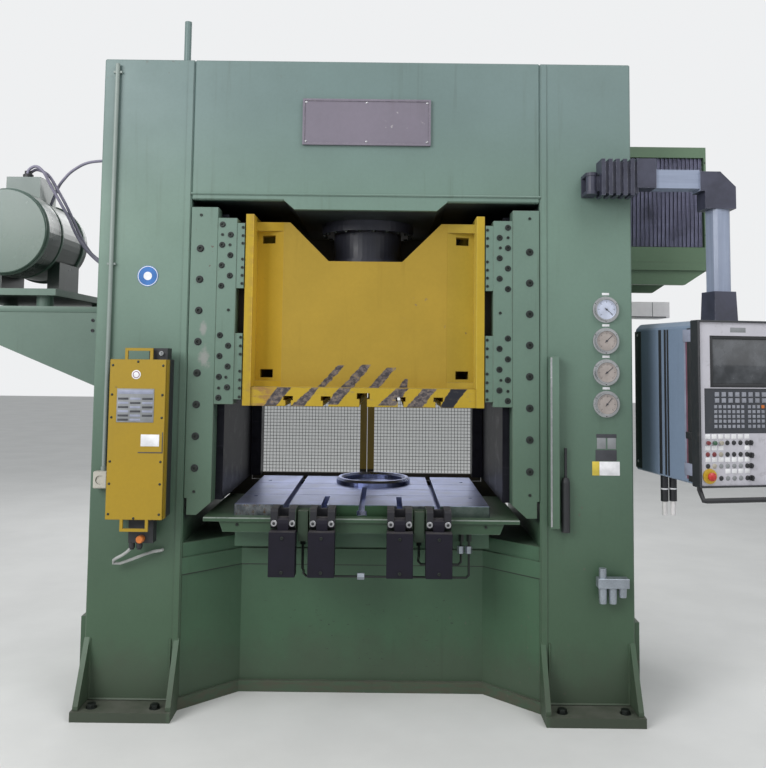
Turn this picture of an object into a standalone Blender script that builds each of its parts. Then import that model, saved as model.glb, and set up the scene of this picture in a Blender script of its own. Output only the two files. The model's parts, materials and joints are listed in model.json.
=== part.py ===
"""Hydraulic press: welded portal frame, guided ram, T-slotted table and swing-out desk.

Metres, +Z up, -Y towards the operator. The origin lies on the floor, midway between the
columns and midway through the depth of the frame.
"""
import math

import bmesh
import bpy
from mathutils import Matrix, Vector

# General fits
SEAT_GAP = 0.0003
SLIDE_GAP = 0.002
HINGE_GAP = 0.0005
OVERRUN = 0.02

# Portal frame
COLUMN_OUTER_X = 1.34
COLUMN_WIDTH = 0.4605
FRAME_DEPTH = 1.10
FRAME_HEIGHT = 3.22
FRAME_WALL = 0.06
FRAME_EDGE = 0.006
WEB_EDGE_WIDTH = 0.027
WEB_EDGE_PROUD = 0.005
FOOT_THICKNESS = 0.045
FOOT_PROJECTION = 0.15
FOOT_SIDE = 0.008
GUSSET_THICKNESS = 0.025
GUSSET_HEIGHT = 0.295
GUSSET_LEG = 0.135
GUSSET_TOE = 0.02
SIDE_PAD = 0.03
SIDE_PAD_HEIGHT = 0.43
SIDE_PAD_INSET = 0.03
RISER_RADIUS = 0.02
RISER_X = 1.055
RISER_HEIGHT = 0.42

# Crown
CROWN_UNDERSIDE = 2.50
CROWN_LIP_DROP = 0.045
CROWN_LIP_HALF = 0.36
CROWN_LIP_SLOPE = 0.053
CROWN_FLOOR = 0.12
NAMEPLATE_WIDTH = 0.65
NAMEPLATE_HEIGHT = 0.237
NAMEPLATE_THICKNESS = 0.014
NAMEPLATE_RIM = 0.010
NAMEPLATE_RECESS = 0.004
NAMEPLATE_Z = 2.903

# Bed
BED_HEIGHT = 0.79
BED_RECESS = 0.26
BED_WING_X = 0.625
BED_WING_RECESS = 0.02
BED_BAND_Z = 0.64
BED_BAND_HEIGHT = 0.08
BED_BAND_PROUD = 0.012
BED_SKIRT_HEIGHT = 0.055
BED_SKIRT_PROUD = 0.022
BED_TABLE_HALF = 0.64
BED_TABLE_THICKNESS = 0.06
BED_TABLE_SETBACK = 0.11
BED_HATCH_HALF = 0.50
BED_HATCH_BOTTOM = 0.12
BED_HATCH_TOP = 0.66
BED_HATCH_DEPTH = 0.62

# Bolster, its slots and its ring
BOLSTER_WIDTH = 1.27
BOLSTER_SETBACK = 0.04
BOLSTER_THICKNESS = 0.13
SLOT_PITCH = 0.1875
SLOT_MOUTH = 0.028
SLOT_MOUTH_DEPTH = 0.028
SLOT_HEAD = 0.048
SLOT_HEAD_DEPTH = 0.022
SLOT_SHORT = 0.26
SLOT_CENTRE = 0.60
GROOVE_WIDTH = 0.006
GROOVE_DEPTH = 0.004
GROOVE_PITCH = 0.205
LIFT_HOLE_RADIUS = 0.012
LIFT_HOLE_DEPTH = 0.04
LIFT_HOLE_X = 0.565
LIFT_HOLE_FRONT = 0.26
LIFT_HOLE_BACK = 0.30
RING_RADIUS = 0.216
RING_BORE = 0.176
RING_THICKNESS = 0.034
RING_LEDGE = 0.012
RING_X = 0.045
RING_SETBACK = 0.28

# Shelf around the bolster and its apron
SHELF_HALF = 0.775
SHELF_FRONT = 0.062
SHELF_Z = 0.905
SHELF_THICKNESS = 0.02
SHELF_SHORT = 0.38
APRON_TOP_HALF = 0.70
APRON_FOOT_HALF = 0.68
APRON_HEIGHT = 0.052
APRON_INSET = 0.012

# Slideways
HOUSING_INNER_X = 0.706
HOUSING_BOTTOM = 0.99
HOUSING_TOP = 2.44
GIB_DEPTH = 0.10
GUIDE_PLATE_INNER_X = 0.7425
GUIDE_PLATE_OUTER_X = 0.877
GUIDE_PLATE_BOTTOM = 0.93
GUIDE_PLATE_TOP = 2.461
GUIDE_PLATE_STEP = 0.013
GUIDE_PLATE_STEP_Z = 1.011
GUIDE_PLATE_TIP = 0.05
GUIDE_PLATE_SLOPE = 0.062
GIB_INNER_X = 0.6455
GIB_BOTTOM = 1.473
GIB_TOP = 2.407
WEDGE_INNER_X = 0.608
WEDGE_DEPTH = 0.05
WEDGE_LOW_TOP = 1.827
WEDGE_HIGH_BOTTOM = 2.053
WEDGE_END = 0.025

# Main cylinder
CYLINDER_RADIUS = 0.23
CYLINDER_TOP = 3.10
COLLAR_RADIUS = 0.26
COLLAR_THICKNESS = 0.055
NECK_RADIUS = 0.19
GLAND_RADIUS = 0.215
GLAND_THICKNESS = 0.035
GLAND_BOTTOM = 2.215
ROD_RADIUS = 0.15
ROD_TOP = 2.95
ROD_GAP = 0.0005
ROD_FLANGE_RADIUS = 0.21
ROD_FLANGE_THICKNESS = 0.08
BORE_HEADROOM = 0.05

# Ram
RAM_BOTTOM = 1.467
RAM_BASE_THICKNESS = 0.093
RAM_BASE_SETBACK = 0.02
RAM_BODY_TOP = 2.405
RAM_FLANGE_TOP = 2.430
RAM_FLANGE_INNER_X = 0.563
RAM_FLANGE_THICKNESS = 0.040
RAM_FLANGE_SETBACK = 0.01
RAM_FACE_SETBACK = 0.11
RAM_FACE_HALF = 0.42
RAM_SIDE_SETBACK = 0.15
RAM_WALL = 0.045
RAM_BAND_TOP = 0.045
RAM_BAND_FOOT = 0.030
RAM_NOTCH_HALF = 0.19
RAM_NOTCH_TOP_HALF = 0.391
RAM_NOTCH_FLOOR = 2.206
RAM_WINDOW_HALF_WIDTH = 0.034
RAM_WINDOW_HALF_HEIGHT = 0.021
RAM_WINDOW_X = 0.502
RAM_WINDOW_HIGH = 2.318
RAM_WINDOW_LOW = 1.626
RAM_SHOE_BOTTOM = 1.50
RAM_SHOE_TOP = 2.40
RAM_CENTRE_SLOT_SCALE_SHARE = 1.35

# Folding consoles in line with the slots
CONSOLE_HALF_WIDTH = 0.0635
CONSOLE_BOTTOM = 0.667
CONSOLE_FRONT = 0.068
CONSOLE_BACK = 0.012
CONSOLE_NECK = 0.034
CONSOLE_AXIS_OUT = 0.102
EAR_HALF_WIDTH = 0.017
EAR_OFFSET = 0.044
EAR_FRONT = 0.028
EAR_NOSE = 0.030
EAR_BACK = 0.0385
EAR_TOP_CHAMFER = 0.012
LINK_BAR_DEPTH = 0.028
LINK_BAR_HEIGHT = 0.040
VALVE_HALF_WIDTH = 0.024
VALVE_HEIGHT = 0.155

# Hydraulic lines of the consoles
LINE_RADIUS = 0.0065
LINE_OUT = 0.035
LOWER_LINE_Z = 0.640
LOWER_LINE_END_X = 0.530
UPPER_LINE_Z = 0.703
UPPER_LINE_END_X = 0.491
UNION_RADIUS = 0.014
UNION_HALF = 0.018

# Light curtain and its control box on the left column
CASE_LEFT_X = -1.212
CASE_WIDTH = 0.269
CASE_DEPTH = 0.14
CASE_BOTTOM = 0.932
CASE_HEIGHT = 0.759
COVER_THICKNESS = 0.012
HANDLE_BAR = 0.014
HANDLE_LEFT = 0.070
HANDLE_WIDTH = 0.134
HANDLE_HEIGHT = 0.055
CONNECTOR_LEFT = 0.098
CONNECTOR_WIDTH = 0.119
CONNECTOR_HEIGHT = 0.118
CONNECTOR_DEPTH = 0.06
SWITCH_WIDTH = 0.09
SWITCH_DEPTH = 0.08
SWITCH_HEIGHT = 0.055
KEY_RADIUS = 0.011
KEY_HEAD = 0.016
KEY_WEB = 0.004
KEY_PROUD = 0.024
RECEIVER_X = 0.942
RECEIVER_WIDTH = 0.046
RECEIVER_DEPTH = 0.055
RECEIVER_BOTTOM = 0.892
RECEIVER_HEIGHT = 0.835
SLEEVE_X = 1.000
SLEEVE_RADIUS = 0.021
SLEEVE_BOTTOM = 0.872
SLEEVE_HEIGHT = 0.262
SLEEVE_ROD_RADIUS = 0.007
SLEEVE_ROD_HEIGHT = 0.145
SIGNAL_CABLE_RADIUS = 0.0075
# Stations of the looped lead: across, out from the frame's front, and height
SIGNAL_CABLE_ROUTE = (
    (-1.098, 0.090, 0.8135), (-1.098, 0.090, 0.800), (-1.105, 0.088, 0.785),
    (-1.122, 0.082, 0.768), (-1.150, 0.070, 0.748), (-1.178, 0.058, 0.733),
    (-1.196, 0.050, 0.720), (-1.199, 0.042, 0.704), (-1.168, 0.036, 0.702),
    (-1.110, 0.032, 0.722), (-1.055, 0.030, 0.744), (-1.008, 0.030, 0.759),
    (-0.985, 0.026, 0.762), (-0.975, 0.018, 0.762), (-0.973, 0.010, 0.762),
    (-0.973, 0.0005, 0.762),
)

# Small items on the columns
GAUGE_X = 1.208
GAUGE_TOP_Z = 1.965
GAUGE_PITCH = 0.1565
GAUGE_COUNT = 4
GAUGE_RADIUS = 0.066
GAUGE_FLANGE = 0.006
GAUGE_BEZEL_RADIUS = 0.055
GAUGE_DEPTH = 0.024
GAUGE_BEZEL_WALL = 0.005
GAUGE_RECESS = 0.006
SOCKET_X = -1.277
SOCKET_WIDTH = 0.067
SOCKET_HEIGHT = 0.082
SOCKET_DEPTH = 0.05
SOCKET_Z = 1.102
SOCKET_FACE_RADIUS = 0.022
SOCKET_FACE_DEPTH = 0.006
CONDUIT_X = -1.270
CONDUIT_RADIUS = 0.0105
CONDUIT_TOP = 3.19
CONDUIT_CLEARANCE = 0.004
AIR_X = 1.220
AIR_Z = 0.640
AIR_BODY_WIDTH = 0.15
AIR_BODY_HEIGHT = 0.046
AIR_BODY_DEPTH = 0.055
AIR_STANDOFF = 0.02
AIR_BOWL_RADIUS = 0.022
AIR_SHORT_SHARE = 0.6
AIR_BOWL_LENGTH = 0.075
AIR_KNOB_RADIUS = 0.018
AIR_KNOB_HEIGHT = 0.045
AIR_BOWL_PITCH = 0.048

# Power unit on the left bracket
UNIT_FRONT = 0.24
UNIT_BACK = 0.80
UNIT_LEFT_X = -2.42
BRACKET_TOP = 1.968
BRACKET_PLATE = 0.022
BRACKET_ROOT = 0.465
BRACKET_WEB = 0.02
BRACKET_TIP = 0.05
BRACKET_TIP_X = -2.30
BRACKET_FLANGE = 0.015
BRACKET_FLANGE_WIDTH = 0.30
MOTOR_BASE_RIGHT_X = -1.67
MOTOR_BASE_THICKNESS = 0.036
MOUNT_HEIGHT = 0.059
MOUNT_RADIUS = 0.045
MOUNT_INSET = 0.09
MOTOR_X = -2.03
MOTOR_Z = 2.395
MOTOR_RADIUS = 0.235
MOTOR_FRONT = 0.10
MOTOR_LENGTH = 0.66
MOTOR_COWL = 0.20
MOTOR_COWL_STEP = 0.012
MOTOR_CROWN = 0.03
PUMP_RADIUS = 0.11
PUMP_LENGTH = 0.22
MOTOR_FOOT_WIDTH = 0.07
MOTOR_FOOT_SPREAD = 0.17
MOTOR_FOOT_INSET = 0.10
TERMINAL_WIDTH = 0.20
TERMINAL_HEIGHT = 0.12
TERMINAL_LENGTH = 0.24

# Cooler on the right bracket
COOLER_FRONT = 0.20
COOLER_DEPTH = 0.62
COOLER_WIDTH = 0.515
COOLER_BOTTOM = 2.32
COOLER_HEIGHT = 0.565
COOLER_CORE_HEIGHT = 0.507
COOLER_CORE_RECESS = 0.03
COOLER_RIM = 0.012
COOLER_BASE_HEIGHT = 0.070
COOLER_SHELF = 0.044
COOLER_ARM_HEIGHT = 0.078
COOLER_ARM_WIDTH = 0.04
COOLER_ARM_TAPER = 0.13
SIDE_BOX_WIDTH = 0.30
SIDE_BOX_DEPTH = 0.20
SIDE_BOX_HEIGHT = 0.085
SIDE_BOX_BOTTOM = 1.945
SIDE_BOX_FRONT = 0.22

# Rear guard with two mesh doors
GUARD_OUTER_X = 0.95
GUARD_INNER_X = 0.715
GUARD_BOTTOM = 0.86
GUARD_TOP = 2.56
GUARD_SILL = 0.09
GUARD_HEAD = 0.26
GUARD_THICKNESS = 0.04
DOOR_BAR = 0.042
DOOR_THICKNESS = 0.03
DOOR_GAP = 0.004
MESH_THICKNESS = 0.006
BARREL_RADIUS = 0.009
BARREL_LENGTH = 0.05
BARREL_INSET = 0.22
LEAF_WIDTH = 0.03
LEAF_THICKNESS = 0.005

# Swing arm and control desk
ARM_AXIS_X = 1.118
ARM_AXIS_OUT = 0.09
ARM_BARREL_RADIUS = 0.026
ARM_BARREL_BOTTOM = 2.545
ARM_BARREL_HEIGHT = 0.074
LUG_RADIUS = 0.030
LUG_THICKNESS = 0.016
WALL_PLATE = 0.02
RIB_START = 0.038
RIB_COUNT = 5
RIB_PITCH = 0.0355
RIB_THICKNESS = 0.019
RIB_BOTTOM = 2.518
RIB_TOP = 2.698
RIB_HALF_DEPTH = 0.055
RIB_CORE_INSET = 0.012
KNUCKLE_START_X = 1.330
KNUCKLE_END_X = 1.424
KNUCKLE_BOTTOM = 2.556
KNUCKLE_TOP = 2.700
BEAM_BOTTOM = 2.556
BEAM_TOP = 2.648
BEAM_HALF_DEPTH = 0.046
ELBOW_START_X = 1.637
ELBOW_END_X = 1.811
ELBOW_BOTTOM = 2.457
ELBOW_TOP = 2.640
ELBOW_CHAMFER = 0.075
DESK_AXIS_X = 1.740
DESK_YAW_DEG = 11.0
TUBE_HALF_WIDTH = 0.045
TUBE_HALF_DEPTH = 0.0475
TUBE_BEVEL = 0.014
BOOT_TOP = 2.052
BOOT_TOP_HALF = 0.057
BOOT_FOOT_HALF = 0.062
DESK_LEFT = 0.220
DESK_RIGHT = 0.274
DESK_FRONT = 0.173
DESK_BACK = 0.447
DESK_BOTTOM = 1.132
DESK_TOP = 1.905
DESK_FRAME = 0.070
DESK_SHELL_INSET = 0.008
DESK_SHELL_BEVEL = 0.028
DESK_RIM = 0.009
DESK_PANEL_RECESS = 0.008
SCREEN_LEFT = -0.157
SCREEN_RIGHT = 0.215
SCREEN_BOTTOM = 1.592
SCREEN_TOP = 1.833
SCREEN_RECESS = 0.012
KEYS_BOTTOM = 1.379
KEYS_TOP = 1.588
KEYS_LEFT = -0.188
KEYS_RIGHT = 0.246
KEYS_RECESS = 0.004
GLAND_STUB_RADIUS = 0.019
GLAND_STUB_LENGTH = 0.135
GLAND_STUB_TIP = 0.012
GLAND_STUB_TIP_LENGTH = 0.07
GLAND_STUB_PITCH = 0.047
GLAND_STUB_X = -0.165
GLAND_STUB_Y = 0.245
GRIP_RADIUS = 0.012
GRIP_DROP = 0.055
GRIP_OUT = 0.045
GRIP_LEFT = -0.203
GRIP_RIGHT = 0.245
STOP_X = -0.168
STOP_Z = 1.185
STOP_RADIUS = 0.020
STOP_HEIGHT = 0.026
STOP_STEM_RADIUS = 0.011
STOP_COLLAR_RADIUS = 0.034
STOP_COLLAR_THICKNESS = 0.006
BUTTON_Z = 1.337
BUTTON_X = -0.175
BUTTON_PITCH = 0.0335
BUTTON_RADIUS = 0.010
BUTTON_HEIGHT = 0.010
BUTTON_STROKE = 0.004
BUTTON_STEM_RADIUS = 0.006
BUTTON_STEM_LENGTH = 0.012
KNOB_X = 0.045
KNOB_HIGH_Z = 1.280
KNOB_LOW_Z = 1.175
KNOB_RADIUS = 0.013
KNOB_HEIGHT = 0.018

# Places worked out from the sizes above
COLUMN_INNER_X = COLUMN_OUTER_X - COLUMN_WIDTH
FRONT_Y = -FRAME_DEPTH / 2
BACK_Y = FRAME_DEPTH / 2
BED_TABLE_FRONT = BACK_Y - BED_TABLE_SETBACK
BOLSTER_DEPTH = FRAME_DEPTH - 2 * BOLSTER_SETBACK
RING_Y = BACK_Y - RING_SETBACK
SHELF_BACK = FRAME_DEPTH - SHELF_SHORT
RAM_BASE_FRONT = BACK_Y - RAM_BASE_SETBACK
RAM_FLANGE_FRONT = BACK_Y - RAM_FLANGE_SETBACK
RAM_FACE_FRONT = BACK_Y - RAM_FACE_SETBACK
RAM_SIDE_FRONT = BACK_Y - RAM_SIDE_SETBACK
BETWEEN_X = COLUMN_INNER_X - SEAT_GAP
LIP_Z = CROWN_UNDERSIDE - CROWN_LIP_DROP
BED_TOP = BED_HEIGHT + BED_TABLE_THICKNESS
BOLSTER_BOTTOM = BED_TOP + SEAT_GAP
BOLSTER_TOP = BOLSTER_BOTTOM + BOLSTER_THICKNESS
BOLSTER_FRONT = -BOLSTER_DEPTH / 2
SHELF_TOP = SHELF_Z + SHELF_THICKNESS
SHELF_FRONT_Y = BOLSTER_FRONT - SHELF_FRONT
CONSOLE_AXIS_Y = BOLSTER_FRONT - CONSOLE_AXIS_OUT
CONSOLE_TONGUE_HALF = EAR_OFFSET - EAR_HALF_WIDTH - HINGE_GAP
CONSOLE_AXIS_Z = BOLSTER_TOP - CONSOLE_FRONT
HOUSING_FRONT_Y = FRONT_Y + GIB_DEPTH + SEAT_GAP
RAM_FLANGE_OUTER_X = RAM_FLANGE_INNER_X + RAM_FLANGE_THICKNESS
RAM_BASE_TOP = RAM_BOTTOM + RAM_BASE_THICKNESS
ARM_AXIS_Y = FRONT_Y - ARM_AXIS_OUT
DESK_PANEL_Y = -DESK_FRONT + DESK_PANEL_RECESS
GUARD_BACK_Y = BACK_Y + SEAT_GAP + GUARD_THICKNESS
DOOR_AXIS_X = GUARD_INNER_X - DOOR_GAP / 2
DOOR_AXIS_Y = GUARD_BACK_Y + BARREL_RADIUS + HINGE_GAP
DOOR_BOTTOM = GUARD_BOTTOM + GUARD_SILL + DOOR_GAP
DOOR_TOP = GUARD_TOP - GUARD_HEAD - DOOR_GAP
FACE_SEAT_Y = FRONT_Y - SEAT_GAP

ROUND_STEPS = 32
FINE_STEPS = 20
BIG_STEPS = 48

COLOURS = {
    "press_green": ((0.16, 0.26, 0.19), 0.45, 0.0),
    "dark_green": ((0.08, 0.14, 0.10), 0.5, 0.0),
    "safety_yellow": ((0.62, 0.42, 0.03), 0.45, 0.0),
    "table_steel": ((0.42, 0.42, 0.47), 0.35, 1.0),
    "slide_steel": ((0.20, 0.17, 0.14), 0.45, 1.0),
    "chrome": ((0.70, 0.70, 0.72), 0.12, 1.0),
    "black_oxide": ((0.018, 0.018, 0.022), 0.5, 0.0),
    "plate_mauve": ((0.16, 0.13, 0.14), 0.4, 0.0),
    "box_grey": ((0.45, 0.45, 0.46), 0.45, 0.0),
    "aluminium": ((0.50, 0.53, 0.56), 0.35, 1.0),
    "cable_grey": ((0.30, 0.30, 0.30), 0.6, 0.0),
    "signal_red": ((0.60, 0.02, 0.02), 0.35, 0.0),
    "signal_green": ((0.03, 0.30, 0.08), 0.35, 0.0),
    "signal_cream": ((0.70, 0.66, 0.55), 0.35, 0.0),
}


def clear_scene():
    """Empty the scene and make the two collections that the part uses."""
    for obj in list(bpy.data.objects):
        bpy.data.objects.remove(obj, do_unlink=True)
    made = []
    for name in ("hydraulic_press", "cutters"):
        collection = bpy.data.collections.new(name)
        bpy.context.scene.collection.children.link(collection)
        made.append(collection)
    return made


PARTS, TOOLS = clear_scene()


def material(name):
    """Return the named finish as a Principled material, made once."""
    found = bpy.data.materials.get(name)
    if found:
        return found
    colour, roughness, metallic = COLOURS[name]
    found = bpy.data.materials.new(name)
    found.use_nodes = True
    shader = found.node_tree.nodes["Principled BSDF"]
    shader.inputs["Base Color"].default_value = (*colour, 1.0)
    shader.inputs["Roughness"].default_value = roughness
    shader.inputs["Metallic"].default_value = metallic
    return found


def add_mesh(name, bm):
    """Close a bmesh into an object in the tools' collection, to be claimed later."""
    bmesh.ops.recalc_face_normals(bm, faces=bm.faces)
    if bm.calc_volume(signed=True) < 0:
        bmesh.ops.reverse_faces(bm, faces=bm.faces)
    mesh = bpy.data.meshes.new(name)
    bm.to_mesh(mesh)
    bm.free()
    obj = bpy.data.objects.new(name, mesh)
    TOOLS.objects.link(obj)
    obj.display_type = "WIRE"
    obj.hide_render = True
    return obj


def box(name, x, y, z):
    """A box between three pairs of limits."""
    low = Vector((min(x), min(y), min(z)))
    high = Vector((max(x), max(y), max(z)))
    bm = bmesh.new()
    bmesh.ops.create_cube(bm, size=1.0)
    bmesh.ops.scale(bm, vec=high - low, verts=bm.verts)
    bmesh.ops.translate(bm, vec=(low + high) / 2, verts=bm.verts)
    return add_mesh(name, bm)


AXIS_TURN = {
    "X": Matrix(((0, 0, 1), (1, 0, 0), (0, 1, 0))),
    "Y": Matrix(((1, 0, 0), (0, 0, -1), (0, 1, 0))),
    "Z": Matrix.Identity(3),
}
AXIS_SIGN = {"X": 1, "Y": -1, "Z": 1}


def prism(name, outline, axis, low, high):
    """Extrude a flat outline along an axis; it is drawn in YZ, XZ or XY."""
    curve = bpy.data.curves.new(name, "CURVE")
    curve.dimensions = "2D"
    curve.fill_mode = "BOTH"
    curve.extrude = abs(high - low) / 2
    spline = curve.splines.new("POLY")
    spline.points.add(len(outline) - 1)
    for point, (u, v) in zip(spline.points, outline):
        point.co = (u, v, 0, 1)
    spline.use_cyclic_u = True
    return solid_from_curve(name, curve, axis, (low + high) / 2)


def solid_from_curve(name, curve, axis="Z", offset=0):
    """Turn a curve into a welded mesh object, laid along the axis."""
    guide = bpy.data.objects.new(name + "_guide", curve)
    TOOLS.objects.link(guide)
    bpy.context.view_layer.update()
    seen = guide.evaluated_get(bpy.context.evaluated_depsgraph_get())
    mesh = bpy.data.meshes.new_from_object(seen)
    bpy.data.objects.remove(guide, do_unlink=True)
    bm = bmesh.new()
    bm.from_mesh(mesh)
    bpy.data.meshes.remove(mesh)
    bmesh.ops.remove_doubles(bm, verts=bm.verts, dist=SEAT_GAP / 3)
    if curve.dimensions == "2D":
        bmesh.ops.dissolve_limit(bm, angle_limit=math.radians(1), verts=bm.verts,
                                 edges=bm.edges)
    else:
        bmesh.ops.triangulate(bm, faces=bm.faces)
    turn = AXIS_TURN[axis]
    shift = turn @ Vector((0, 0, AXIS_SIGN[axis] * offset))
    for vert in bm.verts:
        vert.co = turn @ vert.co + shift
    return add_mesh(name, bm)


def rod(name, centre, radius, low, high, axis="Z", steps=ROUND_STEPS, top_radius=None):
    """A round bar or cone along an axis; centre holds the two other coordinates."""
    bm = bmesh.new()
    bmesh.ops.create_cone(bm, cap_ends=True, segments=steps, radius1=radius,
                          radius2=radius if top_radius is None else top_radius,
                          depth=high - low)
    middle = (low + high) / 2
    turn = {"X": Matrix.Rotation(math.pi / 2, 3, "Y"),
            "Y": Matrix.Rotation(-math.pi / 2, 3, "X"),
            "Z": Matrix.Identity(3)}[axis]
    places = {"X": (middle, *centre), "Y": (centre[0], middle, centre[1]),
              "Z": (*centre, middle)}
    bmesh.ops.rotate(bm, matrix=turn, verts=bm.verts)
    bmesh.ops.translate(bm, vec=places[axis], verts=bm.verts)
    return add_mesh(name, bm)


def turned(name, profile, place, axis="Z", steps=ROUND_STEPS):
    """Revolve a profile of (radius, height) points, listed from top to bottom."""
    mesh = bpy.data.meshes.new(name)
    points = [(radius, 0, height) for radius, height in profile]
    closed = profile[0] == profile[-1]
    if closed:
        points.pop()
    count = len(points)
    edges = [(i, i + 1) for i in range(count - 1)]
    if closed:
        edges.append((count - 1, 0))
    mesh.from_pydata(points, edges, [])
    obj = bpy.data.objects.new(name, mesh)
    TOOLS.objects.link(obj)
    obj.display_type = "WIRE"
    obj.hide_render = True
    screw = obj.modifiers.new("turn", "SCREW")
    screw.steps = screw.render_steps = steps
    screw.use_merge_vertices = True
    screw.merge_threshold = SEAT_GAP / 3
    obj.location = place
    if axis == "Y":
        obj.rotation_euler = (math.pi / 2, 0, 0)
    return obj


def tube(name, route, radius, resolution=2):
    """A round line along hand-placed points, with closed ends."""
    curve = bpy.data.curves.new(name, "CURVE")
    curve.dimensions = "3D"
    curve.bevel_depth = radius
    curve.bevel_resolution = resolution
    curve.use_fill_caps = True
    spline = curve.splines.new("POLY")
    spline.points.add(len(route) - 1)
    for point, place in zip(spline.points, route):
        point.co = (*place, 1)
    return solid_from_curve(name, curve)


def arc(centre, radius, start_deg, end_deg, count):
    """Points on an arc in an outline, both ends included."""
    turns = [math.radians(start_deg + (end_deg - start_deg) * i / count)
             for i in range(count + 1)]
    return [(centre[0] + radius * math.cos(t), centre[1] + radius * math.sin(t))
            for t in turns]


def mirrored(outline):
    """The same outline on the other side of the centre plane."""
    return [(-u, v) for u, v in reversed(outline)]


def combine(base, tools, operation):
    """Join or cut a piece with others through Boolean modifiers."""
    for tool in tools:
        step = base.modifiers.new(tool.name, "BOOLEAN")
        step.operation = operation
        step.solver = "EXACT"
        step.object = tool
    return base


def fuse(base, *tools):
    return combine(base, tools, "UNION")


def cut(base, *tools):
    return combine(base, tools, "DIFFERENCE")


def chamfer(obj, width):
    """Break the sharp edges of a plain block before it is joined or cut."""
    step = obj.modifiers.new("chamfer", "BEVEL")
    step.width = width
    step.segments = 1
    step.limit_method = "ANGLE"
    return obj


def finish(obj, finish_name, origin=None, smooth=False):
    """Claim an object as a sub-part, with its finish and its origin."""
    TOOLS.objects.unlink(obj)
    PARTS.objects.link(obj)
    obj.display_type = "TEXTURED"
    obj.hide_render = False
    obj.data.materials.clear()
    obj.data.materials.append(material(finish_name))
    if origin is not None:
        obj.data.transform(Matrix.Translation(-Vector(origin)))
        obj.location = Vector(origin)
    if smooth:
        obj.data.shade_smooth()
        obj.data.set_sharp_from_angle(angle=math.radians(35))
    return obj


def put_on_desk(obj, local=(0, 0, 0)):
    """Place a piece that was drawn about the desk's own upright axis."""
    turn = Matrix.Rotation(math.radians(DESK_YAW_DEG), 4, "Z")
    spot = Vector((DESK_AXIS_X, ARM_AXIS_Y, 0)) + turn @ Vector(local)
    obj.matrix_world = Matrix.Translation(spot) @ turn
    return obj


def tee_slot(name, x, top, front, length, scale=1.0, opens=1):
    """Cutter for a T-slot along Y; opens is 1 upwards and -1 downwards."""
    mouth, head = SLOT_MOUTH * scale / 2, SLOT_HEAD * scale / 2
    step = top - opens * SLOT_MOUTH_DEPTH * scale
    floor = step - opens * SLOT_HEAD_DEPTH * scale
    rim = top + opens * OVERRUN
    half = [(mouth, rim), (mouth, step), (head, step), (head, floor)]
    outline = [(x + u, v) for u, v in half] + [(x - u, v) for u, v in reversed(half)]
    return prism(name, outline, "Y", front - OVERRUN, front + length)


def column(name, side):
    """A hollow welded column with its foot plate, gussets and outer pad."""
    inner, outer = side * COLUMN_INNER_X, side * COLUMN_OUTER_X
    body = chamfer(box(name, (inner, outer), (FRONT_Y, BACK_Y), (0, FRAME_HEIGHT)),
                   FRAME_EDGE)
    reach = BACK_Y + FOOT_PROJECTION
    extras = [
        box(name + "_foot", (inner + side * SEAT_GAP, outer + side * FOOT_SIDE),
            (-reach, reach), (0, FOOT_THICKNESS)),
        box(name + "_pad", (outer - side * FRAME_EDGE, outer + side * SIDE_PAD),
            (FRONT_Y + SIDE_PAD_INSET, BACK_Y - SIDE_PAD_INSET), (0, SIDE_PAD_HEIGHT)),
    ]
    top = FOOT_THICKNESS + GUSSET_HEIGHT
    root = FOOT_THICKNESS - FOOT_THICKNESS / 2
    web = inner + side * FRAME_EDGE
    extras.append(box(name + "_web", (web, web + side * WEB_EDGE_WIDTH),
                      (FRONT_Y - WEB_EDGE_PROUD, FRONT_Y + FRAME_EDGE),
                      (root, FRAME_HEIGHT - FRAME_EDGE)))
    for end in (-1, 1):
        wall = end * (BACK_Y - GUSSET_THICKNESS)
        foot = end * (BACK_Y + GUSSET_LEG)
        shape = [(wall, root), (foot, root), (foot, FOOT_THICKNESS + GUSSET_TOE),
                 (end * BACK_Y, top), (wall, top)]
        for edge, turn in ((outer, -side), (inner + side * SEAT_GAP, side)):
            extras.append(prism(f"{name}_gusset", shape, "X",
                                *sorted((edge, edge + turn * GUSSET_THICKNESS))))
    fuse(body, *extras)
    if side < 0:
        riser = rod(name + "_riser", (-RISER_X, 0), RISER_RADIUS,
                    FRAME_HEIGHT - FRAME_WALL / 2, FRAME_HEIGHT + RISER_HEIGHT,
                    steps=FINE_STEPS)
        fuse(body, riser)
    cavity = box(name + "_cavity",
                 (inner + side * FRAME_WALL, outer - side * FRAME_WALL),
                 (FRONT_Y + FRAME_WALL, BACK_Y - FRAME_WALL),
                 (-OVERRUN, FRAME_HEIGHT - FRAME_WALL))
    cut(body, cavity)
    return finish(body, "press_green")


def crown():
    """The cross head: an open-topped box whose underside drops at the centre."""
    body = chamfer(box("crown", (-BETWEEN_X, BETWEEN_X), (FRONT_Y, BACK_Y),
                       (CROWN_UNDERSIDE, FRAME_HEIGHT)), FRAME_EDGE)
    root = CROWN_LIP_HALF + CROWN_LIP_SLOPE
    half = [(root, CROWN_UNDERSIDE + CROWN_FLOOR / 2), (root, CROWN_UNDERSIDE),
            (CROWN_LIP_HALF, LIP_Z)]
    fuse(body, prism("crown_lip", half + mirrored(half), "Y", FRONT_Y, BACK_Y))
    inner_y = BACK_Y - FRAME_WALL
    room = box("crown_room", (-BETWEEN_X + FRAME_WALL, BETWEEN_X - FRAME_WALL),
               (-inner_y, inner_y), (CROWN_UNDERSIDE + CROWN_FLOOR, FRAME_HEIGHT + OVERRUN))
    bore = rod("crown_bore", (0, 0), CYLINDER_RADIUS + SEAT_GAP, LIP_Z - OVERRUN,
               CROWN_UNDERSIDE + CROWN_FLOOR + OVERRUN, steps=BIG_STEPS)
    cut(body, room, bore)
    return finish(body, "press_green")


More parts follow.
